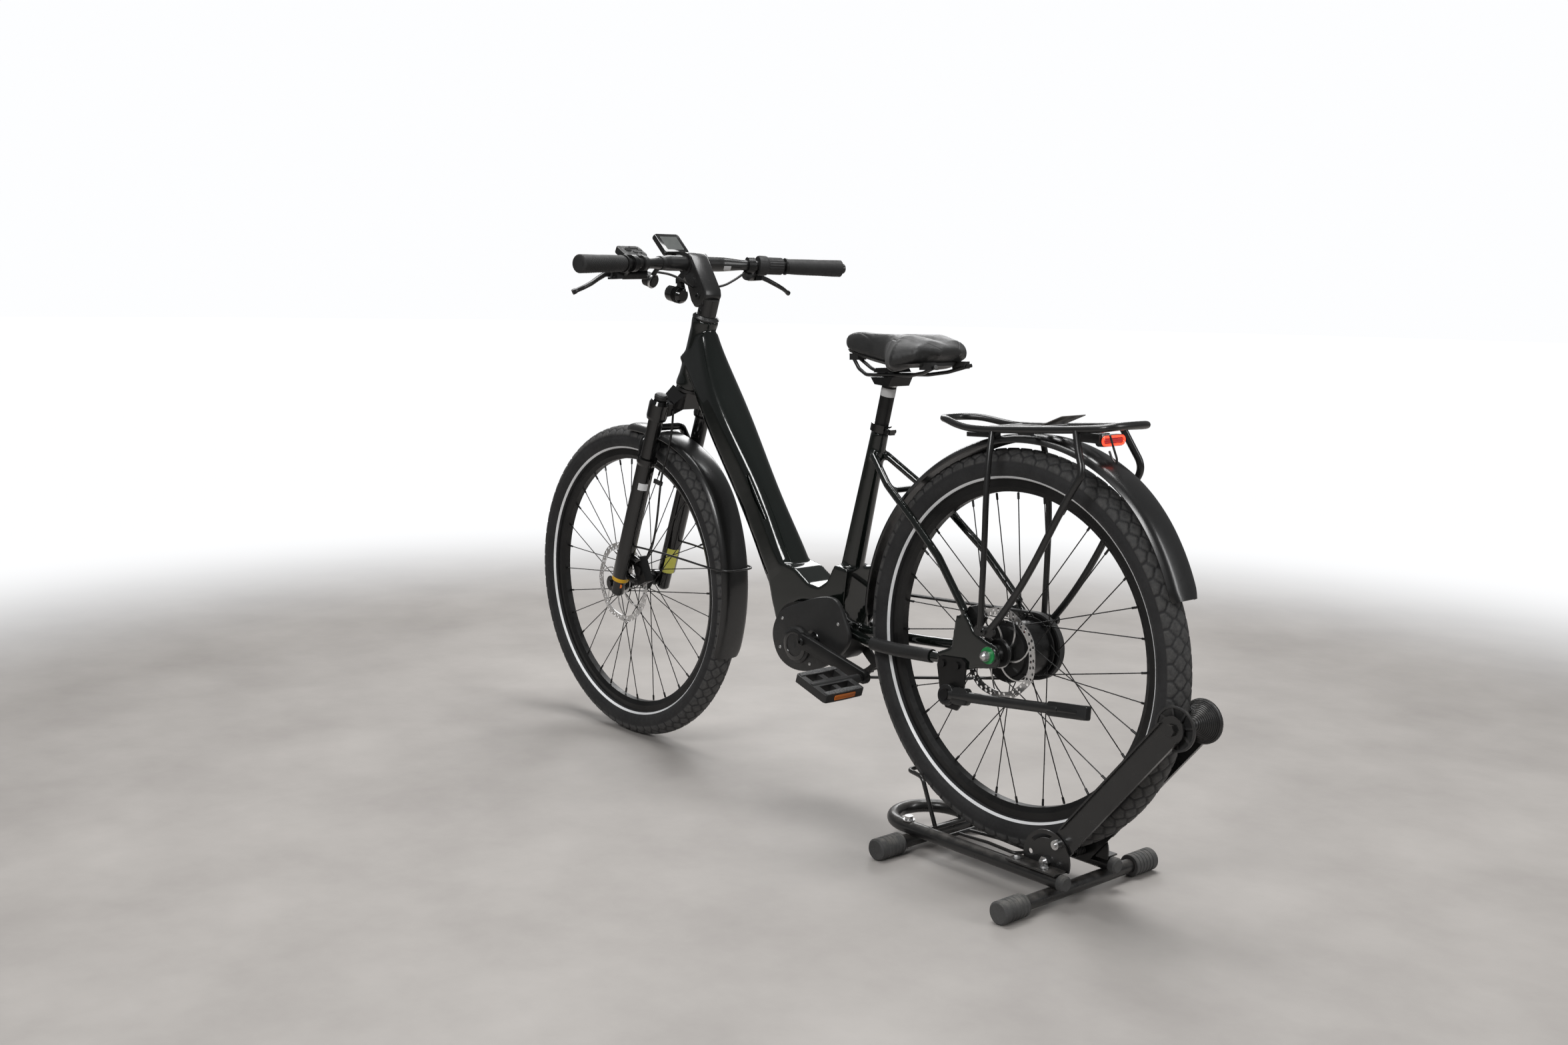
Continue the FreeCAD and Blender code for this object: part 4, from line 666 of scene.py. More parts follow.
def inflate(obj, cap):
    """Swells obj with cloth under pressure, no point moving more than cap."""
    scene = bpy.context.scene
    rest = np.array([v.co for v in obj.data.vertices])
    cloth = obj.modifiers.new("cloth", "CLOTH")
    cloth.settings.quality = 5
    cloth.settings.use_pressure = True
    cloth.settings.uniform_pressure_force = 4.0
    cloth.settings.effector_weights.gravity = 0.0
    for f in range(1, 21):
        scene.frame_set(f)
    bake(obj)
    moved = np.array([v.co for v in obj.data.vertices])
    step = moved - rest
    length = np.linalg.norm(step, axis=1, keepdims=True)
    co = rest + step * np.minimum(1.0, cap / np.maximum(length, 1e-9))
    obj.data.vertices.foreach_set("co", co.astype(np.float32).ravel())
    scene.frame_set(1)


def saddle():
    """Padded cover: swollen by cloth pressure, then a hollow down the middle and sewn lines pressed in."""
    low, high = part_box("saddle_pad")

    def waisted(node):
        """Copy of a saddle node's mesh, drawn in between the wings and the nose."""
        mesh = NODES[node].data.copy()
        for v in mesh.vertices:
            along = (v.co.x - low.x) / (high.x - low.x)
            v.co.y *= np.interp(along, [0.0, 0.1, 0.25, 0.39, 0.54, 0.69, 0.85, 1.0],
                                [0.94, 0.92, 0.96, 0.76, 0.56, 0.68, 0.82, 1.0])
        return mesh

    base = bmesh.new()
    base.from_mesh(waisted("saddle_shell"))
    piece("saddle_base", base, "black_plastic", "seat", replaces=["saddle_shell"])
    obj = bpy.data.objects.new("saddle_cover", waisted("saddle_pad"))
    bpy.context.scene.collection.objects.link(obj)
    remesh = obj.modifiers.new("remesh", "REMESH")
    remesh.mode = "VOXEL"
    remesh.voxel_size = 0.0045
    bake(obj)
    inflate(obj, 0.004)
    fine = obj.modifiers.new("fine", "SUBSURF")
    fine.levels = fine.render_levels = 2
    smooth = obj.modifiers.new("smooth", "SMOOTH")
    smooth.iterations = 12
    bake(obj)
    co = np.array([v.co for v in obj.data.vertices])
    along = (co[:, 0] - low.x) / (high.x - low.x)
    side = np.abs(co[:, 1])
    local = np.interp(along, [0.0, 0.2, 0.45, 0.7, 1.0], [0.885, 0.895, 0.893, 0.893, 0.887])
    topness = smooth_step(co[:, 2] - local, 0.0, 0.012)
    channel = np.exp(-(side / 0.011) ** 2) * smooth_step(along, 0.04,
                                                         0.22) * (1 - smooth_step(along, 0.72, 0.92))
    co[:, 2] -= 0.0060 * channel * topness
    wings = np.exp(-((side - 0.052) / 0.026) ** 2) * np.exp(-((along - 0.2) / 0.17) ** 2)
    co[:, 2] += 0.0030 * wings * topness
    share = np.clip((co[:, 2] - low.z) / (high.z - low.z), 0, 1)
    skirt = smooth_step(side, 0.020, 0.062) * np.exp(-((along - 0.36) / 0.17) ** 2) * (1 - share) ** 0.8
    co[:, 2] -= 0.0110 * skirt
    co[:, 2] += 0.0080 * (1 - share) * (1 - smooth_step(along, 0.0, 0.20))
    seam_at = np.interp(along, [0.0, 0.12, 0.3, 0.5, 0.75, 1.0], [0.020, 0.052, 0.058, 0.026, 0.014, 0.004])
    seam = np.exp(-((side - seam_at) / 0.0012) ** 2) * topness
    co[:, 2] -= 0.0011 * seam
    obj.data.vertices.foreach_set("co", co.astype(np.float32).ravel())
    obj.data.materials.clear()
    obj.data.materials.append(MATERIALS["saddle_cover"])
    crease(obj.data, 70.0)
    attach(obj, "seat")
    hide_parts("saddle_pad")


saddle()

# ---------------------------------------------------------------- handlebar

BAR_BEND = (892.0, 70.0, 1046.0)
BAR_END = (806.0, 345.0, 1037.0)
BORE = 11.3
GRIP_FROM, LEFT_TIP, RIGHT_TIP = 216.2, 345, -339


def on_bar(y):
    t = (abs(y) - BAR_BEND[1]) / (BAR_END[1] - BAR_BEND[1])
    return bike(BAR_BEND[0] + t * (BAR_END[0] - BAR_BEND[0]), y, BAR_BEND[2] + t * (BAR_END[2] - BAR_BEND[2]))


def grip(name, side):
    """Rubber sleeve with a palm wing, a ribbed panel underneath and a plain closed end."""
    start, end = on_bar(side * GRIP_FROM), on_bar(LEFT_TIP if side > 0 else RIGHT_TIP)
    m = axes(start, end - start, UP)
    long = (end - start).length * 1000
    n_h, n_a = 150, 96
    bm = bmesh.new()
    rings = []
    for i, h in enumerate(np.linspace(0, long, n_h)):
        share = h / long
        ring = []
        for a in full_turn(n_a):
            r = 16.0 + 1.2 * math.sin(math.pi * share) + 2.2 * max(0.0, share - 0.6) / 0.4
            diamond = abs(math.sin(a * 9 + h * 0.42)) * abs(math.sin(a * 9 - h * 0.42))
            panel = 0.5 + 0.5 * math.tanh(8 * (math.cos(a + 2.2) - 0.1))
            panel *= min(1.0, max(0.0, (share - 0.06) * 18)) * min(1.0, max(0.0, (0.94 - share) * 18))
            r += 0.55 * panel * (min(diamond * 1.8, 1.0) - 0.5)
            if share < 0.02:
                r = min(r, 15.2)
            ring.append(bm.verts.new(m @ Vector((r / 1000 * math.cos(a), r / 1000 * math.sin(a), h / 1000))))
        rings.append(ring)
    rings.insert(0, circle(bm, m, BORE, 0.0, n_a))
    rings += [circle(bm, m, r, long + back, n_a) for r, back in ((16.8, 1.2), (14.0, 2.4), (7.0, 3.0))]
    skin(bm, rings)
    bm.faces.new(rings[-1])
    return piece(name, bm, "grip_rubber", "steering", 60.0)


left_grip = grip("left_grip", 1)
grip("right_grip", -1)
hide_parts("grips")
for side, word in ((1, "left"), (-1, "right")):
    a, b = on_bar(side * 211.6), on_bar(side * 216.0)
    collar = lathe([(BORE, 0), (17.2, 0), (18.0, 0.8), (18.0, 3.6), (17.2, 4.4), (BORE, 4.4)],
                   axes(a, b - a, UP),
                   48, closed=True)
    piece(word + "_grip_collar", collar, "black_alloy", "steering")

# grip shifter with finger ribs
a, b = on_bar(-152), on_bar(-209)
m = axes(a, b - a, UP)
bm = bmesh.new()
rings = []
shape = [(11.5, 0), (19.6, 0), (20.6, 1.2), (21.2, 4), (21.2, 16), (20.4, 19.5), (18.0, 22.5)]
shape += [(17.6, h) for h in np.linspace(24, 55, 24)] + [(16.6, 57), (11.5, 57)]
for r, h in shape:
    ring = []
    for t in full_turn(120):
        lobes = 0.0
        if 24 <= h <= 55:
            lobes = 0.8 * max(0.0, math.cos(t * 20)) ** 0.5
        elif 4 <= h <= 16 and math.cos(t * 10) > 0.9:
            lobes = -0.5
        ring.append(bm.verts.new(m @ Vector(((r + lobes) / 1000 * math.cos(t),
                                             (r + lobes) / 1000 * math.sin(t),
                                             h / 1000))))
    rings.append(ring)
skin(bm, rings, closed=True)
piece("shifter_grip", bm, "grip_rubber", "shifter", 40.0, replaces=["twist_shifter"])

# display glass and its frame
tilt = math.radians(45)
face = -ALONG * math.sin(tilt) + UP * math.cos(tilt)
screen_at = axes(bike(972, 0, 1087), face, ALONG)
piece("display_screen", slab(rounded(40, 44, 2), screen_at, 6.6, 7.25), "screen", "computer", angle=30)
rim = slab(rounded(57, 63, 6), screen_at, 6.2, 7.1)
piece("display_glass", rim, "gloss_plastic", "computer", angle=30, round_off=0.0004)

# remote's keys
remote_face = -ALONG * math.sin(math.radians(30)) + UP * math.cos(math.radians(30))
remote_at = axes(bike(893, 160, 1066), remote_face, ALONG)
for i, (x, y, w, h) in enumerate(((9.5, -8, 9, 20), (-9.5, -8, 9, 20), (0, -18, 8, 9))):
    key = slab([(x + u, y + v) for u, v in rounded(w, h, 2.5)], remote_at, 5.6, 7.4)
    piece(f"remote_key_{i}", key, "grip_rubber", "steering", angle=30, round_off=0.0006)

# bell's bright ring
dome_a, dome_b = bike(934, 96, 1017), bike(910, 87, 1007)
ring = lathe([(14.2, 17.2), (15.5, 17.2), (15.9, 18.4), (15.9, 21.0), (15.3, 22.2), (12.8, 22.4),
              (12.8, 21.6),
              (14.2, 21.4)], axes(dome_a, dome_b - dome_a), 48, closed=True)
piece("bell_ring", ring, "silver_alloy", "steering")

# thick bar that tapers to its ends, and the stem's broad neck
bar = bmesh.new()
rings = []
for y in np.linspace(-345, 345, 139):
    centre = on_bar(y) if abs(y) > 70 else bike(892 + 2 * (1 - abs(y) / 70), y, 1046)
    r = 15.9 - 4.8 * smooth_step(abs(y), 62, 126)
    rings.append([bar.verts.new(centre + (ALONG * math.cos(a) + UP * math.sin(a)) * float(r) / 1000)
                  for a in full_turn(40)])
skin(bar, rings)
bar.faces.new(rings[0][::-1])
bar.faces.new(rings[-1])
piece("bar_tube", bar, "satin_black", "steering", replaces=["handlebar"])
neck_at = axes(bike(0, 0, 0), LEFT, ALONG)
neck = [(912, 1060), (902, 1068), (884, 1069), (872, 1060), (830, 990), (828, 976), (842, 958), (866, 954),
        (878, 968), (892, 1006), (914, 1040), (917, 1051)]
piece("stem_neck", slab([(x, -z) for x, z in neck], neck_at, -22.5, 22.5), "satin_black", "steering",
      round_off=0.0045)
lug = lathe([(0, -0.3), (8.5, -0.3), (8.5, 1.4), (7.4, 2.4), (0, 2.4)],
            axes(bike(848, 0, 1014), (bike(843, 0, 1018) - bike(851, 0, 1012)), LEFT), 36)
piece("stem_recess", lug, "black_plastic", "steering")

LEVER_PATH = [(926, 186, 1024), (923, 205, 1023), (918, 226, 1014), (913, 246, 1004), (913, 264, 996),
              (920, 287, 986)]
for word, side in (("left", 1), ("right", -1)):
    path = [bike(x, side * y, z) for x, y, z in LEVER_PATH]
    blade = bmesh.new()
    rings = []
    fine = np.linspace(0, len(path) - 1, 41)
    for k, t in enumerate(fine):
        i = min(int(t), len(path) - 2)
        place = path[i].lerp(path[i + 1], t - i)
        aim = (path[i + 1] - path[i]).normalized()
        high_axis = axes(place, aim, UP)
        wide, flat = 6.0 - 1.6 * t / (len(path) - 1), 4.4 - 0.6 * t / (len(path) - 1)
        if k > 37:
            wide, flat = wide + 1.2, flat + 1.2
        rings.append([blade.verts.new(high_axis @ Vector((wide / 1000 * math.cos(a),
                                                          flat / 1000 * math.sin(a), 0)))
                      for a in full_turn(20)])
    skin(blade, rings)
    blade.faces.new(rings[0][::-1])
    blade.faces.new(rings[-1])
    lathe([(3.2, -6.4), (8.3, -6.4), (8.3, 6.4), (3.2, 6.4)], axes(path[0], UP, ALONG), 32, blade,
          closed=True)
    piece(f"{word}_lever_blade", blade, "satin_black", "brake_" + word, 45,
          replaces=[word + "_lever"])
    silver = bolt_head(axes(bike(926, side * 186, 1035), UP, ALONG), 3.6)
    bolt_head(axes(bike(900, side * 158, 1033.5), UP, ALONG), 3.0, silver)
    piece(f"{word}_lever_bolts", silver, "steel", "steering")
remote_shell = slab(rounded(42, 58, 9), remote_at, -10.0, 5.2)
piece("remote_shell", remote_shell, "black_plastic", "steering", round_off=0.003)

# stem bolts
bm = bolt_head(axes(bike(853, 22.4, 978), LEFT, UP), 6.0)
bolt_head(axes(bike(853, -22.4, 978), -LEFT, UP), 6.0, bm)
piece("stem_pivot_bolts", bm, "black_alloy", "steering")
for i, s in enumerate((644.0, 660.0)):
    m = axes(steer(s, 19.2, -2), LEFT, UP)
    piece(f"stem_clamp_bolt_{i}", bolt_head(m, 4.2), "black_alloy", "steering")

# headlight lens and rim
lamp_a, lamp_b = bike(931, 0, 980), bike(976, 0, 988)
m = axes(lamp_a, lamp_b - lamp_a, UP)
piece("headlight_lens", lathe([(0, 46.4), (6, 46.2), (11, 45.6), (14.2, 44.6), (14.2, 43.8), (0, 43.8)], m,
                              48),
      "lamp_lens", "lamp", angle=50)
piece("headlight_fins", lathe([(17.3, 10), (18.3, 10.4), (18.3, 12), (17.3, 12.4), (17.3, 15), (18.3, 15.4),
                               (18.3, 17), (17.3, 17.4), (17.3, 20), (18.3, 20.4), (18.3, 22), (17.3, 22.4),
                               (16.6, 22.4), (16.6, 10)], m, 48, closed=True), "black_alloy", "lamp")

# ---------------------------------------------------------------- seat

band_foot = bike(339, 0, 716) + SEAT * 0.069
piece("seatpost_band", lathe([(13.62, 0), (13.95, 0.2), (13.95, 15.8), (13.62, 16)], axes(band_foot, SEAT),
                             64,
                             closed=True), "pale_label", "seat")
head = lathe([(13.62, 0), (15.0, 1.5), (15.6, 8), (15.6, 15), (14.6, 18), (13.62, 18)],
             axes(bike(339, 0, 716) + SEAT * 0.089, SEAT), 64, closed=True)
piece("seatpost_head", head, "silver_alloy", "seat")

# ---------------------------------------------------------------- fork

piece("fork_band_left", lathe([(14.1, 0), (18.2, 0.0), (18.9, 1.0), (18.9, 9.0), (15.6, 9.0), (14.1, 3.0)],
                              axes(steer(8, LEG_Y, LEG_F), STEER, AHEAD), 64, closed=True), "yellow_band",
                              "lowers")


for side, word in ((1, "left"), (-1, "right")):
    sleeve = lathe([(14.1, 17.0), (18.9, 17.0), (19.6, 18.5), (19.6, 78.0), (18.0, 78.0), (14.1, 60.0)],
                   axes(steer(0, side * LEG_Y, LEG_F), STEER, AHEAD), 64, closed=True)
    piece(f"fork_sleeve_{word}", sleeve, "gloss_black", "lowers")
accent = slab(rounded(9, 22, 3), axes(steer(-2, 71, 4), LEFT - AHEAD * 0.4, STEER), 0.0, 1.2)
piece("fork_quick_release_mark", accent, "fork_amber", "lowers", round_off=0.0003)


def patch(name, axis_foot, up, outward, radius, low, high, half_turn, look, body):
    """Thin sticker wrapped on a round tube: radius, low and high in millimetres, half_turn in degrees."""
    m = axes(axis_foot, up, outward)
    bm = bmesh.new()
    rows = []
    for r in (radius, radius + 0.25):
        for h in (low, high):
            rows.append([bm.verts.new(m @ Vector((r / 1000 * math.cos(a), r / 1000 * math.sin(a), h / 1000)))
                         for a in np.radians(np.linspace(-half_turn, half_turn, 15))])
    a, b, c, d = rows
    for i in range(14):
        bm.faces.new([c[i], c[i + 1], d[i + 1], d[i]])
        bm.faces.new([a[i], b[i], b[i + 1], a[i + 1]])
        bm.faces.new([a[i], a[i + 1], c[i + 1], c[i]])
        bm.faces.new([b[i], d[i], d[i + 1], b[i + 1]])
    for i in (0, 14):
        bm.faces.new([a[i], c[i], d[i], b[i]])
    return piece(name, bm, look, body)


patch("fork_label_right", steer(0, -LEG_Y, LEG_F), STEER, -AHEAD + LEFT * 0.5, 19.7, 18, 78, 40,
      "lime_label", "lowers")
patch("bar_label", on_bar(-70), on_bar(-118) - on_bar(-70), -ALONG - UP * 0.9, 15.0, 0, 20, 26, "pale_label",
      "steering")
patch("fork_label_left", steer(0, LEG_Y, LEG_F), STEER, -AHEAD + LEFT * 0.5, 19.55, 236, 252, 32,
      "reflective_white",
      "lowers")

# brake hose down the fork, drawn with some slack
hose = tube([steer(426, 44, -16), steer(400, 43, -22), steer(360, 42, -27), steer(320, 42, -26),
             steer(280, 44, -26),
             steer(240, 45, -34), steer(190, 45, -44), steer(150, 44, -48), steer(120, 42, -46),
             steer(98, 40, -40),
             steer(82, 39, -36)], 2.4)
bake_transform(piece("fork_hose", hose, "black_plastic", None, angle=60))
clip = lathe([(2.5, -4), (4.2, -4), (4.2, 4), (2.5, 4)], axes(steer(262, 44.5, -30), STEER), 24, closed=True)
slab(rounded(10, 5, 1.5), axes(steer(262, 50, -18), AHEAD + LEFT * 0.35, STEER), -11, 4, clip)
piece("fork_hose_clip", clip, "black_plastic", "lowers", round_off=0.0004)

# ---------------------------------------------------------------- drive side and pedals

for i, (x, z) in enumerate(((548, 344), (556, 286), (388, 352), (470, 264))):
    bm = bolt_head(axes(bike(x, 65.9, z), LEFT, UP), 3.4)
    piece(f"cover_screw_{i}", bm, "steel", "bicycle")
cap_at = axes(bike(504, 75.8, 298), LEFT, ALONG)
piece("motor_cap_trim", lathe([(22.0, -1.4), (30.6, -1.4), (31.0, -0.9), (31.0, 0.0), (30.2, 0.5),
                               (22.6, 0.5),
                               (22.0, 0.0)], cap_at, 72, closed=True), "gloss_plastic", "bicycle")


def closed_curve(points, per=8):
    """Smooth closed outline through points."""
    n = len(points)
    out = []
    for i in range(n):
        a, b, c, d = (Vector(points[(i + k) % n]) for k in (-1, 0, 1, 2))
        for t in np.linspace(0, 1, per, endpoint=False):
            out.append(tuple(0.5 * (2 * b + (c - a) * t + (2 * a - 5 * b + 4 * c - d) * t * t
                                    + (3 * b - 3 * c + d - a) * t ** 3)))
    return out


def arm_outline(length, r0, r1):
    """Outline of a link from the origin along +X, with round ends."""
    lean = math.asin((r0 - r1) / length)
    big = [(r0 * math.cos(a), r0 * math.sin(a)) for a in np.linspace(math.pi / 2 - lean,
                                                                     math.pi * 1.5 + lean, 17)]
    small = [(length + r1 * math.cos(a), r1 * math.sin(a))
             for a in np.linspace(-math.pi / 2 + lean, math.pi / 2 - lean, 13)]
    return big + small


cover = closed_curve([(396, 397), (440, 398), (500, 380), (556, 356), (580, 312), (563, 266), (517, 246),
                      (455, 254),
                      (398, 283), (362, 322), (372, 360)])
plate_at = axes(bike(0, 0, 0), LEFT, ALONG)
drawn = [(x, -z) for x, z in cover]
piece("cover_plate", slab(drawn, plate_at, 55.5, 66.4), "black_plastic", "bicycle",
      round_off=0.0028)
piece("crank_seal", lathe([(12.5, 65.5), (19.0, 65.5), (19.0, 68.0), (17.8, 69.0), (12.5, 69.0)],
                          axes(CRANK, LEFT, ALONG), 64, closed=True), "gloss_plastic", "bicycle")

CRANK_LEN = 172.0
for word, side in (("left", 1), ("right", -1)):
    end = Vector(JOINTS[word + "_pedal_spin"]["pos_m"])
    m = axes(CRANK, LEFT * side, end - CRANK)
    arm = slab(arm_outline(CRANK_LEN, 14.5, 12.0), m, 84.0, 96.5)
    piece(f"crank_arm_{word}", arm, "black_alloy", "crank", round_off=0.0022)
    hub = lathe([(0, 60.0), (12.2, 60.0), (12.2, 80.0), (17.5, 82.0), (17.5, 92.0), (14.0, 93.0),
                 (0, 93.0)], m, 48)
    lathe([(0, 90.0), (4.9, 90.0), (4.9, 99.5), (7.0, 99.5), (7.0, 103.0), (4.9, 103.0), (4.9, 216.0),
           (0, 216.0)],
          axes(end - LEFT * end.y, LEFT * side, end - CRANK), 32, hub)
    piece(f"crank_axle_{word}", hub, "black_alloy", "crank")
    bolt = bolt_head(axes(CRANK + LEFT * side * 0.0962, LEFT * side, UP), 7.5)
    piece(f"crank_bolt_{word}", bolt, "black_alloy", "crank")
PULLEY_R, TOOTH = 87.1, 1.9
tooth_r = [PULLEY_R - (TOOTH if k % 4 in (1, 2) else 0.0) for k in range(200)]
teeth = [(r * math.cos(a), r * math.sin(a)) for r, a in zip(tooth_r, full_turn(200))]
ring_at = axes(CRANK, LEFT, ALONG)
toothed = bmesh.new()
inner = [(75.0 * math.cos(a), 75.0 * math.sin(a)) for a in full_turn(200)]
rows = [[toothed.verts.new(ring_at @ Vector((x / 1000, y / 1000, h))) for x, y in line]
        for line, h in ((teeth, -0.0510), (teeth, -0.0390), (inner, -0.0390), (inner, -0.0510))]
skin(toothed, rows, closed=True)
lathe([(0, -49.8), (26.0, -49.8), (27.0, -48.8), (27.0, -39.5), (26.0, -38.6), (0, -38.6)], ring_at, 64,
      toothed)
for i in range(4):
    spoke = ring_at @ Matrix.Rotation(math.pi / 4 + i * math.pi / 2, 4, "Z")
    slab(arm_outline(78.0, 14.0, 8.0), spoke, -49.2, -43.7, toothed)
piece("front_pulley", toothed, "black_alloy", "crank", replaces=["crankset"])

for word, side in (("left", 1), ("right", -1)):
    node = NODES[word + "_pedal"]
    co = np.array([node.matrix_world @ v.co for v in node.data.vertices])
    flat = co[:, [0, 2]] - co[:, [0, 2]].mean(axis=0)
    lean = np.linalg.eigh(flat.T @ flat)[1][:, 1]
    lean = Vector((lean[0], 0, lean[1])) * math.copysign(1, lean[0])
    up = Vector((-lean.z, 0, lean.x))
    low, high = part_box(word + "_pedal")
    middle = (low + high) / 2
    at = axes(Vector((middle.x, side * 0.1765, middle.z)), up, lean)
    pads = bmesh.new()
    for face in (1, -1):
        for end in (1, -1):
            strip = [(end * x, y) for x, y in ((31.0, -44.0), (41.0, -42.0), (42.0, 0.0), (41.0, 42.0),
                                               (31.0, 44.0),
                                               (29.0, 0.0))]
            slab(strip, at, face * 7.0, face * 9.1, pads)
    piece(f"{word}_pedal_grip", pads, "grit", "pedal_" + word, round_off=0.0006)
    for end, place in ((1, "front"), (-1, "rear")):
        lens = slab(rounded(50, 9.5, 1.5), axes(at @ Vector((end * 0.0418, 0, 0)), lean * end, LEFT), 0.0,
                    1.9)
        piece(f"{word}_pedal_reflector_{place}", lens, "amber", "pedal_" + word, round_off=0.0004)

# ---------------------------------------------------------------- rear axle and hub

m = axes(REAR + LEFT * 0.0770, LEFT, UP)
piece("axle_washer_green", lathe([(5.2, 1.9), (14.2, 1.9), (14.6, 2.4), (14.6, 4.6), (14.2, 5.0),
                                  (5.2, 5.0)], m, 48,
                                 closed=True), "green_washer", "bicycle")
m = axes(REAR + LEFT * 0.0205, LEFT, UP)
piece("hub_ring", lathe([(47.8, 0), (48.35, 0.1), (48.35, 0.9), (47.8, 1.0)], m, 96, closed=True),
      "red_accent",
      "rear_wheel")


def drilled_rotor(name, hub, y, r, body, look):
    """Brake rotor: a wavy band with two rows of holes, on swept arms."""
    turns, rows, wide, thick = 42, 2, 13.0, 0.9
    at = axes(hub + LEFT * (y / 1000), LEFT, ALONG)
    bm = bmesh.new()
    n = 12
    square = [(0.5 * u, 0.5 * v) for u, v in ((1, 0), (1, 0.55), (1, 1), (0, 1), (-1, 1), (-1, 0.55), (-1, 0),
                                              (-1, -0.55), (-1, -1), (0, -1), (1, -1), (1, -0.55))]

    def polar(turn, out, h):
        a = 2 * math.pi * turn / turns
        wave = 1.3 * math.cos(a * 7) * (1.0 if out > 0.5 else 0.4)
        radius = (r - wide + wide * out + wave) / 1000
        return bm.verts.new(at @ Vector((radius * math.cos(a), radius * math.sin(a), h * thick / 1000)))

    for k in range(turns):
        for row in range(rows):
            size = 0.02 if (k + 3 * row) % 6 == 0 else 0.27
            for h in (-1, 1):
                edge = [polar(k + 0.5 + u + 0.25 * row, (row + 0.5 + v) / rows, h) for u, v in square]
                hole = [polar(k + 0.5 + 0.25 * row + size * math.cos(t),
                              (row + 0.5 + size * math.sin(t) * 1.5) / rows, h)
                        for t in full_turn(n)]
                for i in range(n):
                    j = (i + 1) % n
                    bm.faces.new([edge[i], edge[j], hole[j], hole[i]])
                if h < 0:
                    under_edge, under_hole = edge, hole
            for i in range(n):
                j = (i + 1) % n
                bm.faces.new([under_hole[i], under_hole[j], hole[j], hole[i]])
                if square[i][1] == square[j][1] == (0.5 if row else -0.5):
                    bm.faces.new([under_edge[i], under_edge[j], edge[j], edge[i]])
    seat = 22.0
    for k in range(7):
        spin = 2 * math.pi * k / 7
        path = [(seat + (r - wide + 3 - seat) * t, spin + 0.75 * t ** 1.3) for t in np.linspace(0, 1, 9)]
        half = [2.04 - 0.72 * t for t in np.linspace(0, 1, 9)]
        side = [(q * math.cos(a + w / q), q * math.sin(a + w / q)) for (q, a), w in zip(path, half)]
        back = [(q * math.cos(a - w / q), q * math.sin(a - w / q)) for (q, a), w in zip(path, half)]
        slab(side + back[::-1], at, -0.85, 0.85, bm)
    lathe([(13.2, -0.9), (26.0, -0.9), (26.0, 0.9), (13.2, 0.9)], at, 72, bm, closed=True)
    rotor = piece(name + "_disc", bm, look, body, 30.0, replaces=[name])
    carrier = lathe([(13.4, 0.9), (19.5, 0.9), (20.0, 1.4), (20.0, 4.2), (19.0, 5.0), (13.4, 5.0)], at, 64,
                    closed=True)
    piece(name + "_lockring", carrier, "black_alloy", body)
    return rotor


drilled_rotor("rear_rotor", REAR, 50.0, 80.0, "rear_wheel", "rotor_rear")
drilled_rotor("front_rotor", FRONT, 35.0, 90.0, "front_wheel", "rotor_front")

# ---------------------------------------------------------------- kickstand

KICK_LEAN = math.radians(12.0)
kick_up = LEFT * math.cos(KICK_LEAN) + UP * math.sin(KICK_LEAN)
pivot = bike(84, 80, 268) + kick_up * 0.0115
heel = bike(-222, 93.7, 290)
along_leg = (heel - pivot).normalized()
leg = tube([pivot, pivot + along_leg * 0.03, pivot + along_leg * 0.12, heel - along_leg * 0.055], 9.2)
lathe([(6.2, -6.0), (17.0, -6.0), (18.5, -4.5), (18.5, 4.5), (17.0, 6.0), (6.2, 6.0)],
      axes(pivot, kick_up, along_leg),
      64, leg, closed=True)
across = along_leg.cross(kick_up).normalized()
shoe_at = axes(heel - along_leg * 0.036, kick_up, along_leg)
slab(rounded(80, 24, 4), shoe_at, -7.0, 7.0, leg)
slab(rounded(34, 30, 8), axes(pivot + along_leg * 0.034, kick_up, along_leg), -7.5, 7.5, leg)
piece("kickstand_arm", leg, "satin_black", "kickstand", round_off=0.001,
      replaces=["kickstand_leg"])
slot_mark = slab(rounded(44, 7, 3), shoe_at, 6.8, 7.6)
piece("kickstand_slot", slot_mark, "gloss_plastic", "kickstand", round_off=0.0004)

# ---------------------------------------------------------------- tail light and rack

RACK_Y = 60.0
half_loop = [(158, 0, 748), (154, 28, 748), (128, 45, 747), (92, 57, 739), (50, RACK_Y, 733),
             (-60, RACK_Y, 736),
             (-170, RACK_Y, 740), (-216, 58, 743), (-234, 44, 746), (-238, 0, 747)]
rack_tubes = tube([bike(*q) for q in half_loop + [(x, -y, z) for x, y, z in half_loop[-2:0:-1]]], 6.3,
                  cyclic=True)
for side in (1, -1):
    tube([bike(x, side * y, z) for x, y, z in ((8, RACK_Y, 733), (4, 72, 700), (3, 82, 620), (4, 84, 540),
                                               (14, 84, 396))],
         5.4, bm=rack_tubes)
    tube([bike(x, side * y, z) for x, y, z in ((-170, RACK_Y, 739), (-182, 70, 708), (-200, 78, 672),
                                               (-176, 82, 640),
                                               (-66, 84, 455), (-8, 84, 396))], 6.2, bm=rack_tubes)
    foot_at = axes(bike(3, side * 84.5, 392), LEFT * side, ALONG)
    slab(rounded(44, 18, 8.5), foot_at, -3.5, 3.5, rack_tubes)
    bolt_head(axes(bike(3, side * 88.0, 392), LEFT * side, UP), 6.2, rack_tubes)
for x, z in ((40, 734), (-60, 736), (-160, 739)):
    tube([bike(x, -RACK_Y, z), bike(x, 0, z), bike(x, RACK_Y, z)], 4.2, bm=rack_tubes)
piece("rack_tubing", rack_tubes, "satin_black", "bicycle", replaces=["rack"])
deck = bmesh.new()
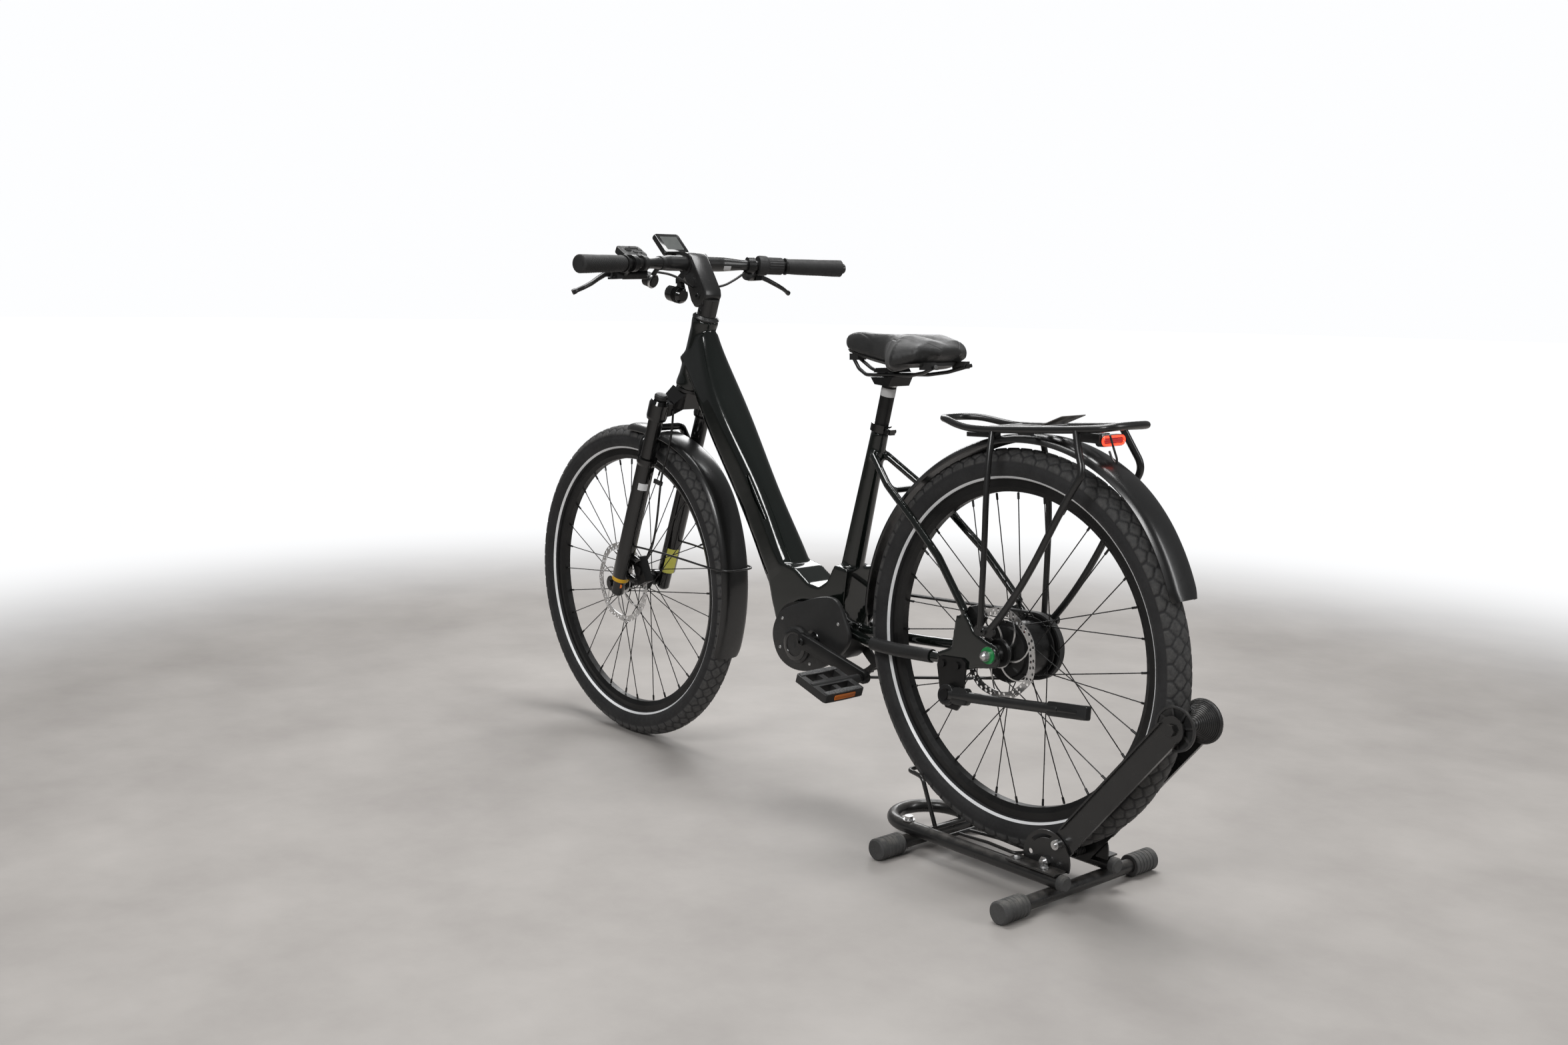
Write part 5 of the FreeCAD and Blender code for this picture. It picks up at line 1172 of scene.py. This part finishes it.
for y in (-26, 0, 26):
    slab(rounded(208, 15, 5), axes(bike(-60, y, 736), UP, ALONG), -1.0, 2.2, deck)
slab(rounded(62, 26, 6), axes(bike(62, 22, 722), UP, ALONG), -4.0, 4.0, deck)
slab(rounded(26, 16, 3), axes(bike(-14, 0, 729), UP, ALONG), -6.0, 6.0, deck)
piece("rack_deck", deck, "black_plastic", "bicycle", round_off=0.0008)
LAMP_X, LAMP_Z, LAMP_WIDE, LAMP_TALL = -198.0, 721.0, 60.0, 16.0
lamp_back = axes(bike(LAMP_X, 0, LAMP_Z), -ALONG, LEFT)
housing = slab(rounded(LAMP_WIDE + 2, LAMP_TALL + 3, 9.0, 8), lamp_back, -13.0, 0.0)
slab(rounded(16, 15, 3), axes(bike(-184, 0, LAMP_Z + 4), -ALONG, LEFT), -34.0, 2.0, housing)
slab([(-152, -14), (-196, -12), (-196, 4), (-152, 2)], axes(bike(0, 30, LAMP_Z), LEFT, ALONG), -4.0, 4.0,
     housing)
piece("tail_light_housing", housing, "black_plastic", "bicycle", round_off=0.001,
      replaces=["tail_light"])
loop = [lamp_back @ Vector((x / 1000, y / 1000, 0.0008)) for x,
        y in rounded(LAMP_WIDE - 4, LAMP_TALL - 3, 6.4, 5)]
piece("tail_light_ring", tube(loop, 2.1, cyclic=True), "tail_glow", "bicycle", angle=70)
piece("tail_light_core", slab(rounded(LAMP_WIDE - 12, LAMP_TALL - 9, 3.2), lamp_back, -1.0, 1.0), "tail_core",
      "bicycle", round_off=0.0005)
hinge, tip = bike(-74, 0, 742), bike(-118, 0, 758)
flap_up = (tip - hinge).cross(LEFT).normalized()
flap_at = axes((hinge + tip) / 2, flap_up if flap_up.z > 0 else -flap_up, tip - hinge)
piece("rack_flap", slab(rounded((tip - hinge).length * 1000, 64, 3), flap_at, 0.0, 1.4), "flap", "bicycle",
      round_off=0.0004)

# ---------------------------------------------------------------- stand's roller

def roller():
    """Two ridged cones on a hub, with eight ribs in each outer face."""
    profile = [(9.0, 0.0), (9.0, 4.0)]
    for i in range(12):
        t0, t1 = i / 12, (i + 0.55) / 12
        r0, y0 = 9.6 + 27.0 * t0, 5.0 + 29.0 * t0 ** 0.8
        r1, y1 = 9.6 + 27.0 * t1, 5.0 + 29.0 * t1 ** 0.8
        profile += [(r0, y0 + 0.9), (r0 + 0.3, y0 - 0.3), (r1, y1 - 0.3), (r1 + 0.2, y1 + 0.9)]
    profile += [(37.0, 34.8), (37.0, 38.3), (36.4, 38.9), (33.4, 38.9), (33.0, 38.3), (33.0, 36.5),
                (13.0, 30.0),
                (13.0, 40.4), (12.6, 41.0), (5.2, 41.0), (5.2, 0.0)]
    bm = bmesh.new()
    for s in (1, -1):
        m = axes(ROLLER, LEFT * s, ALONG)
        lathe(profile, m, 96, bm)
        for k in range(8):
            a = math.radians(45 * k + 10)
            rib = Matrix.Rotation(a, 4, "Z")
            outline = [(12.5, 29.0), (33.5, 35.8), (33.5, 38.0), (12.5, 36.5)]
            verts = [[bm.verts.new(m @ rib @ Vector((r / 1000, w / 1000, h / 1000))) for r, h in outline]
                     for w in (-1.7, 1.7)]
            bm.faces.new(verts[0][::-1])
            bm.faces.new(verts[1])
            for i in range(4):
                j = (i + 1) % 4
                bm.faces.new([verts[0][i], verts[0][j], verts[1][j], verts[1][i]])
    return piece("roller_body", bm, "roller_plastic", "roller", 30.0,
                 replaces=["stand_roller"])


roller()

# ---------------------------------------------------------------- floor, light and camera

ROOM_LIGHT = 0.17
BACKDROP = 1.0
floor_mesh = bmesh.new()
bmesh.ops.create_circle(floor_mesh, cap_ends=True, segments=96, radius=30.0)
mesh = bpy.data.meshes.new("floor")
floor_mesh.to_mesh(mesh)
floor_mesh.free()
floor = bpy.data.objects.new("floor", mesh)
bpy.context.scene.collection.objects.link(floor)
floor.location = (0, 0, -0.0004)
g = Graph("floor")
p = g.add("ShaderNodeSeparateXYZ", {0: g.place}).outputs
reach = g.math("SQRT", g.math("ADD", g.math("MULTIPLY", p[0], p[0]), g.math("MULTIPLY", p[1], p[1])))
away = g.add("ShaderNodeMapRange", {"Value": reach, "From Min": 1.9, "From Max": 3.6},
             interpolation_type="SMOOTHSTEP").outputs[0]
seen = g.add("ShaderNodeLightPath").outputs["Is Camera Ray"]
cement = g.mix(g.ramp(g.noise(2.6, 9.0, 0.62), 0.3, 0.7), (0.33, 0.31, 0.295, 1), (0.42, 0.398, 0.378, 1))
cove = g.math("MULTIPLY", away, seen)
floor.data.materials.append(g.surface({"Base Color": g.mix(cove, cement, grey(0.0)),
                                       "Specular IOR Level": 0.25,
                                       "Roughness": 0.6, "Normal": g.bump(g.noise(45.0, 6.0), 0.05, 0.001),
                                       "Emission Color": (0.985, 0.99, 1.0, 1),
                                       "Emission Strength": g.math("MULTIPLY", cove, BACKDROP)}))

world = bpy.data.worlds.new("studio")
bpy.context.scene.world = world
world.use_nodes = True
seen = world.node_tree.nodes.new("ShaderNodeLightPath").outputs["Is Camera Ray"]
strength = world.node_tree.nodes.new("ShaderNodeMapRange")
strength.inputs["To Min"].default_value = ROOM_LIGHT
strength.inputs["To Max"].default_value = BACKDROP
background = world.node_tree.nodes["Background"]
background.inputs[0].default_value = (0.985, 0.99, 1.0, 1)
world.node_tree.links.new(seen, strength.inputs["Value"])
world.node_tree.links.new(strength.outputs[0], background.inputs[1])
bpy.context.scene.view_settings.view_transform = "Standard"


def soft_light(name, place, target, size, power, tint=(1, 1, 1)):
    light = bpy.data.lights.new(name, "AREA")
    light.shape = "RECTANGLE"
    light.size, light.size_y = size
    light.energy = power
    light.color = tint
    obj = bpy.data.objects.new(name, light)
    obj.location = place
    obj.rotation_mode = "QUATERNION"
    obj.rotation_quaternion = (Vector(target) - Vector(place)).to_track_quat("-Z", "Y")
    bpy.context.scene.collection.objects.link(obj)


soft_light("key", (-1.6, 3.6, 3.0), (0, 0, 0.4), (1.6, 1.2), 95)
soft_light("top", (0.3, -0.3, 3.8), (0, 0, 0), (2.6, 1.6), 130)
soft_light("side", (-3.6, -1.4, 2.2), (-0.2, 0, 0.4), (0.7, 2.0), 35)
soft_light("far", (2.6, -2.6, 2.4), (0.2, 0, 0.5), (2.2, 1.6), 55)

camera = bpy.data.cameras.new("camera")
camera.sensor_width = 36.0
camera.lens = 37.32
camera.clip_end = 100.0
cam = bpy.data.objects.new("camera", camera)
bpy.context.scene.collection.objects.link(cam)
yaw, pitch, roll = math.radians(-41.25), math.radians(-8.78), math.radians(0.972)
ahead = Vector((math.cos(yaw) * math.cos(pitch), math.sin(yaw) * math.cos(pitch), math.sin(pitch)))
right = Vector((math.sin(yaw), -math.cos(yaw), 0))
above = right.cross(ahead)
turned_right = right * math.cos(roll) + above * math.sin(roll)
turned_up = above * math.cos(roll) - right * math.sin(roll)
look = Matrix((turned_right, turned_up, -ahead)).transposed().to_4x4()
look.translation = Vector((-2.3430, 2.12577, 1.04295))
cam.matrix_world = look
bpy.context.scene.camera = cam
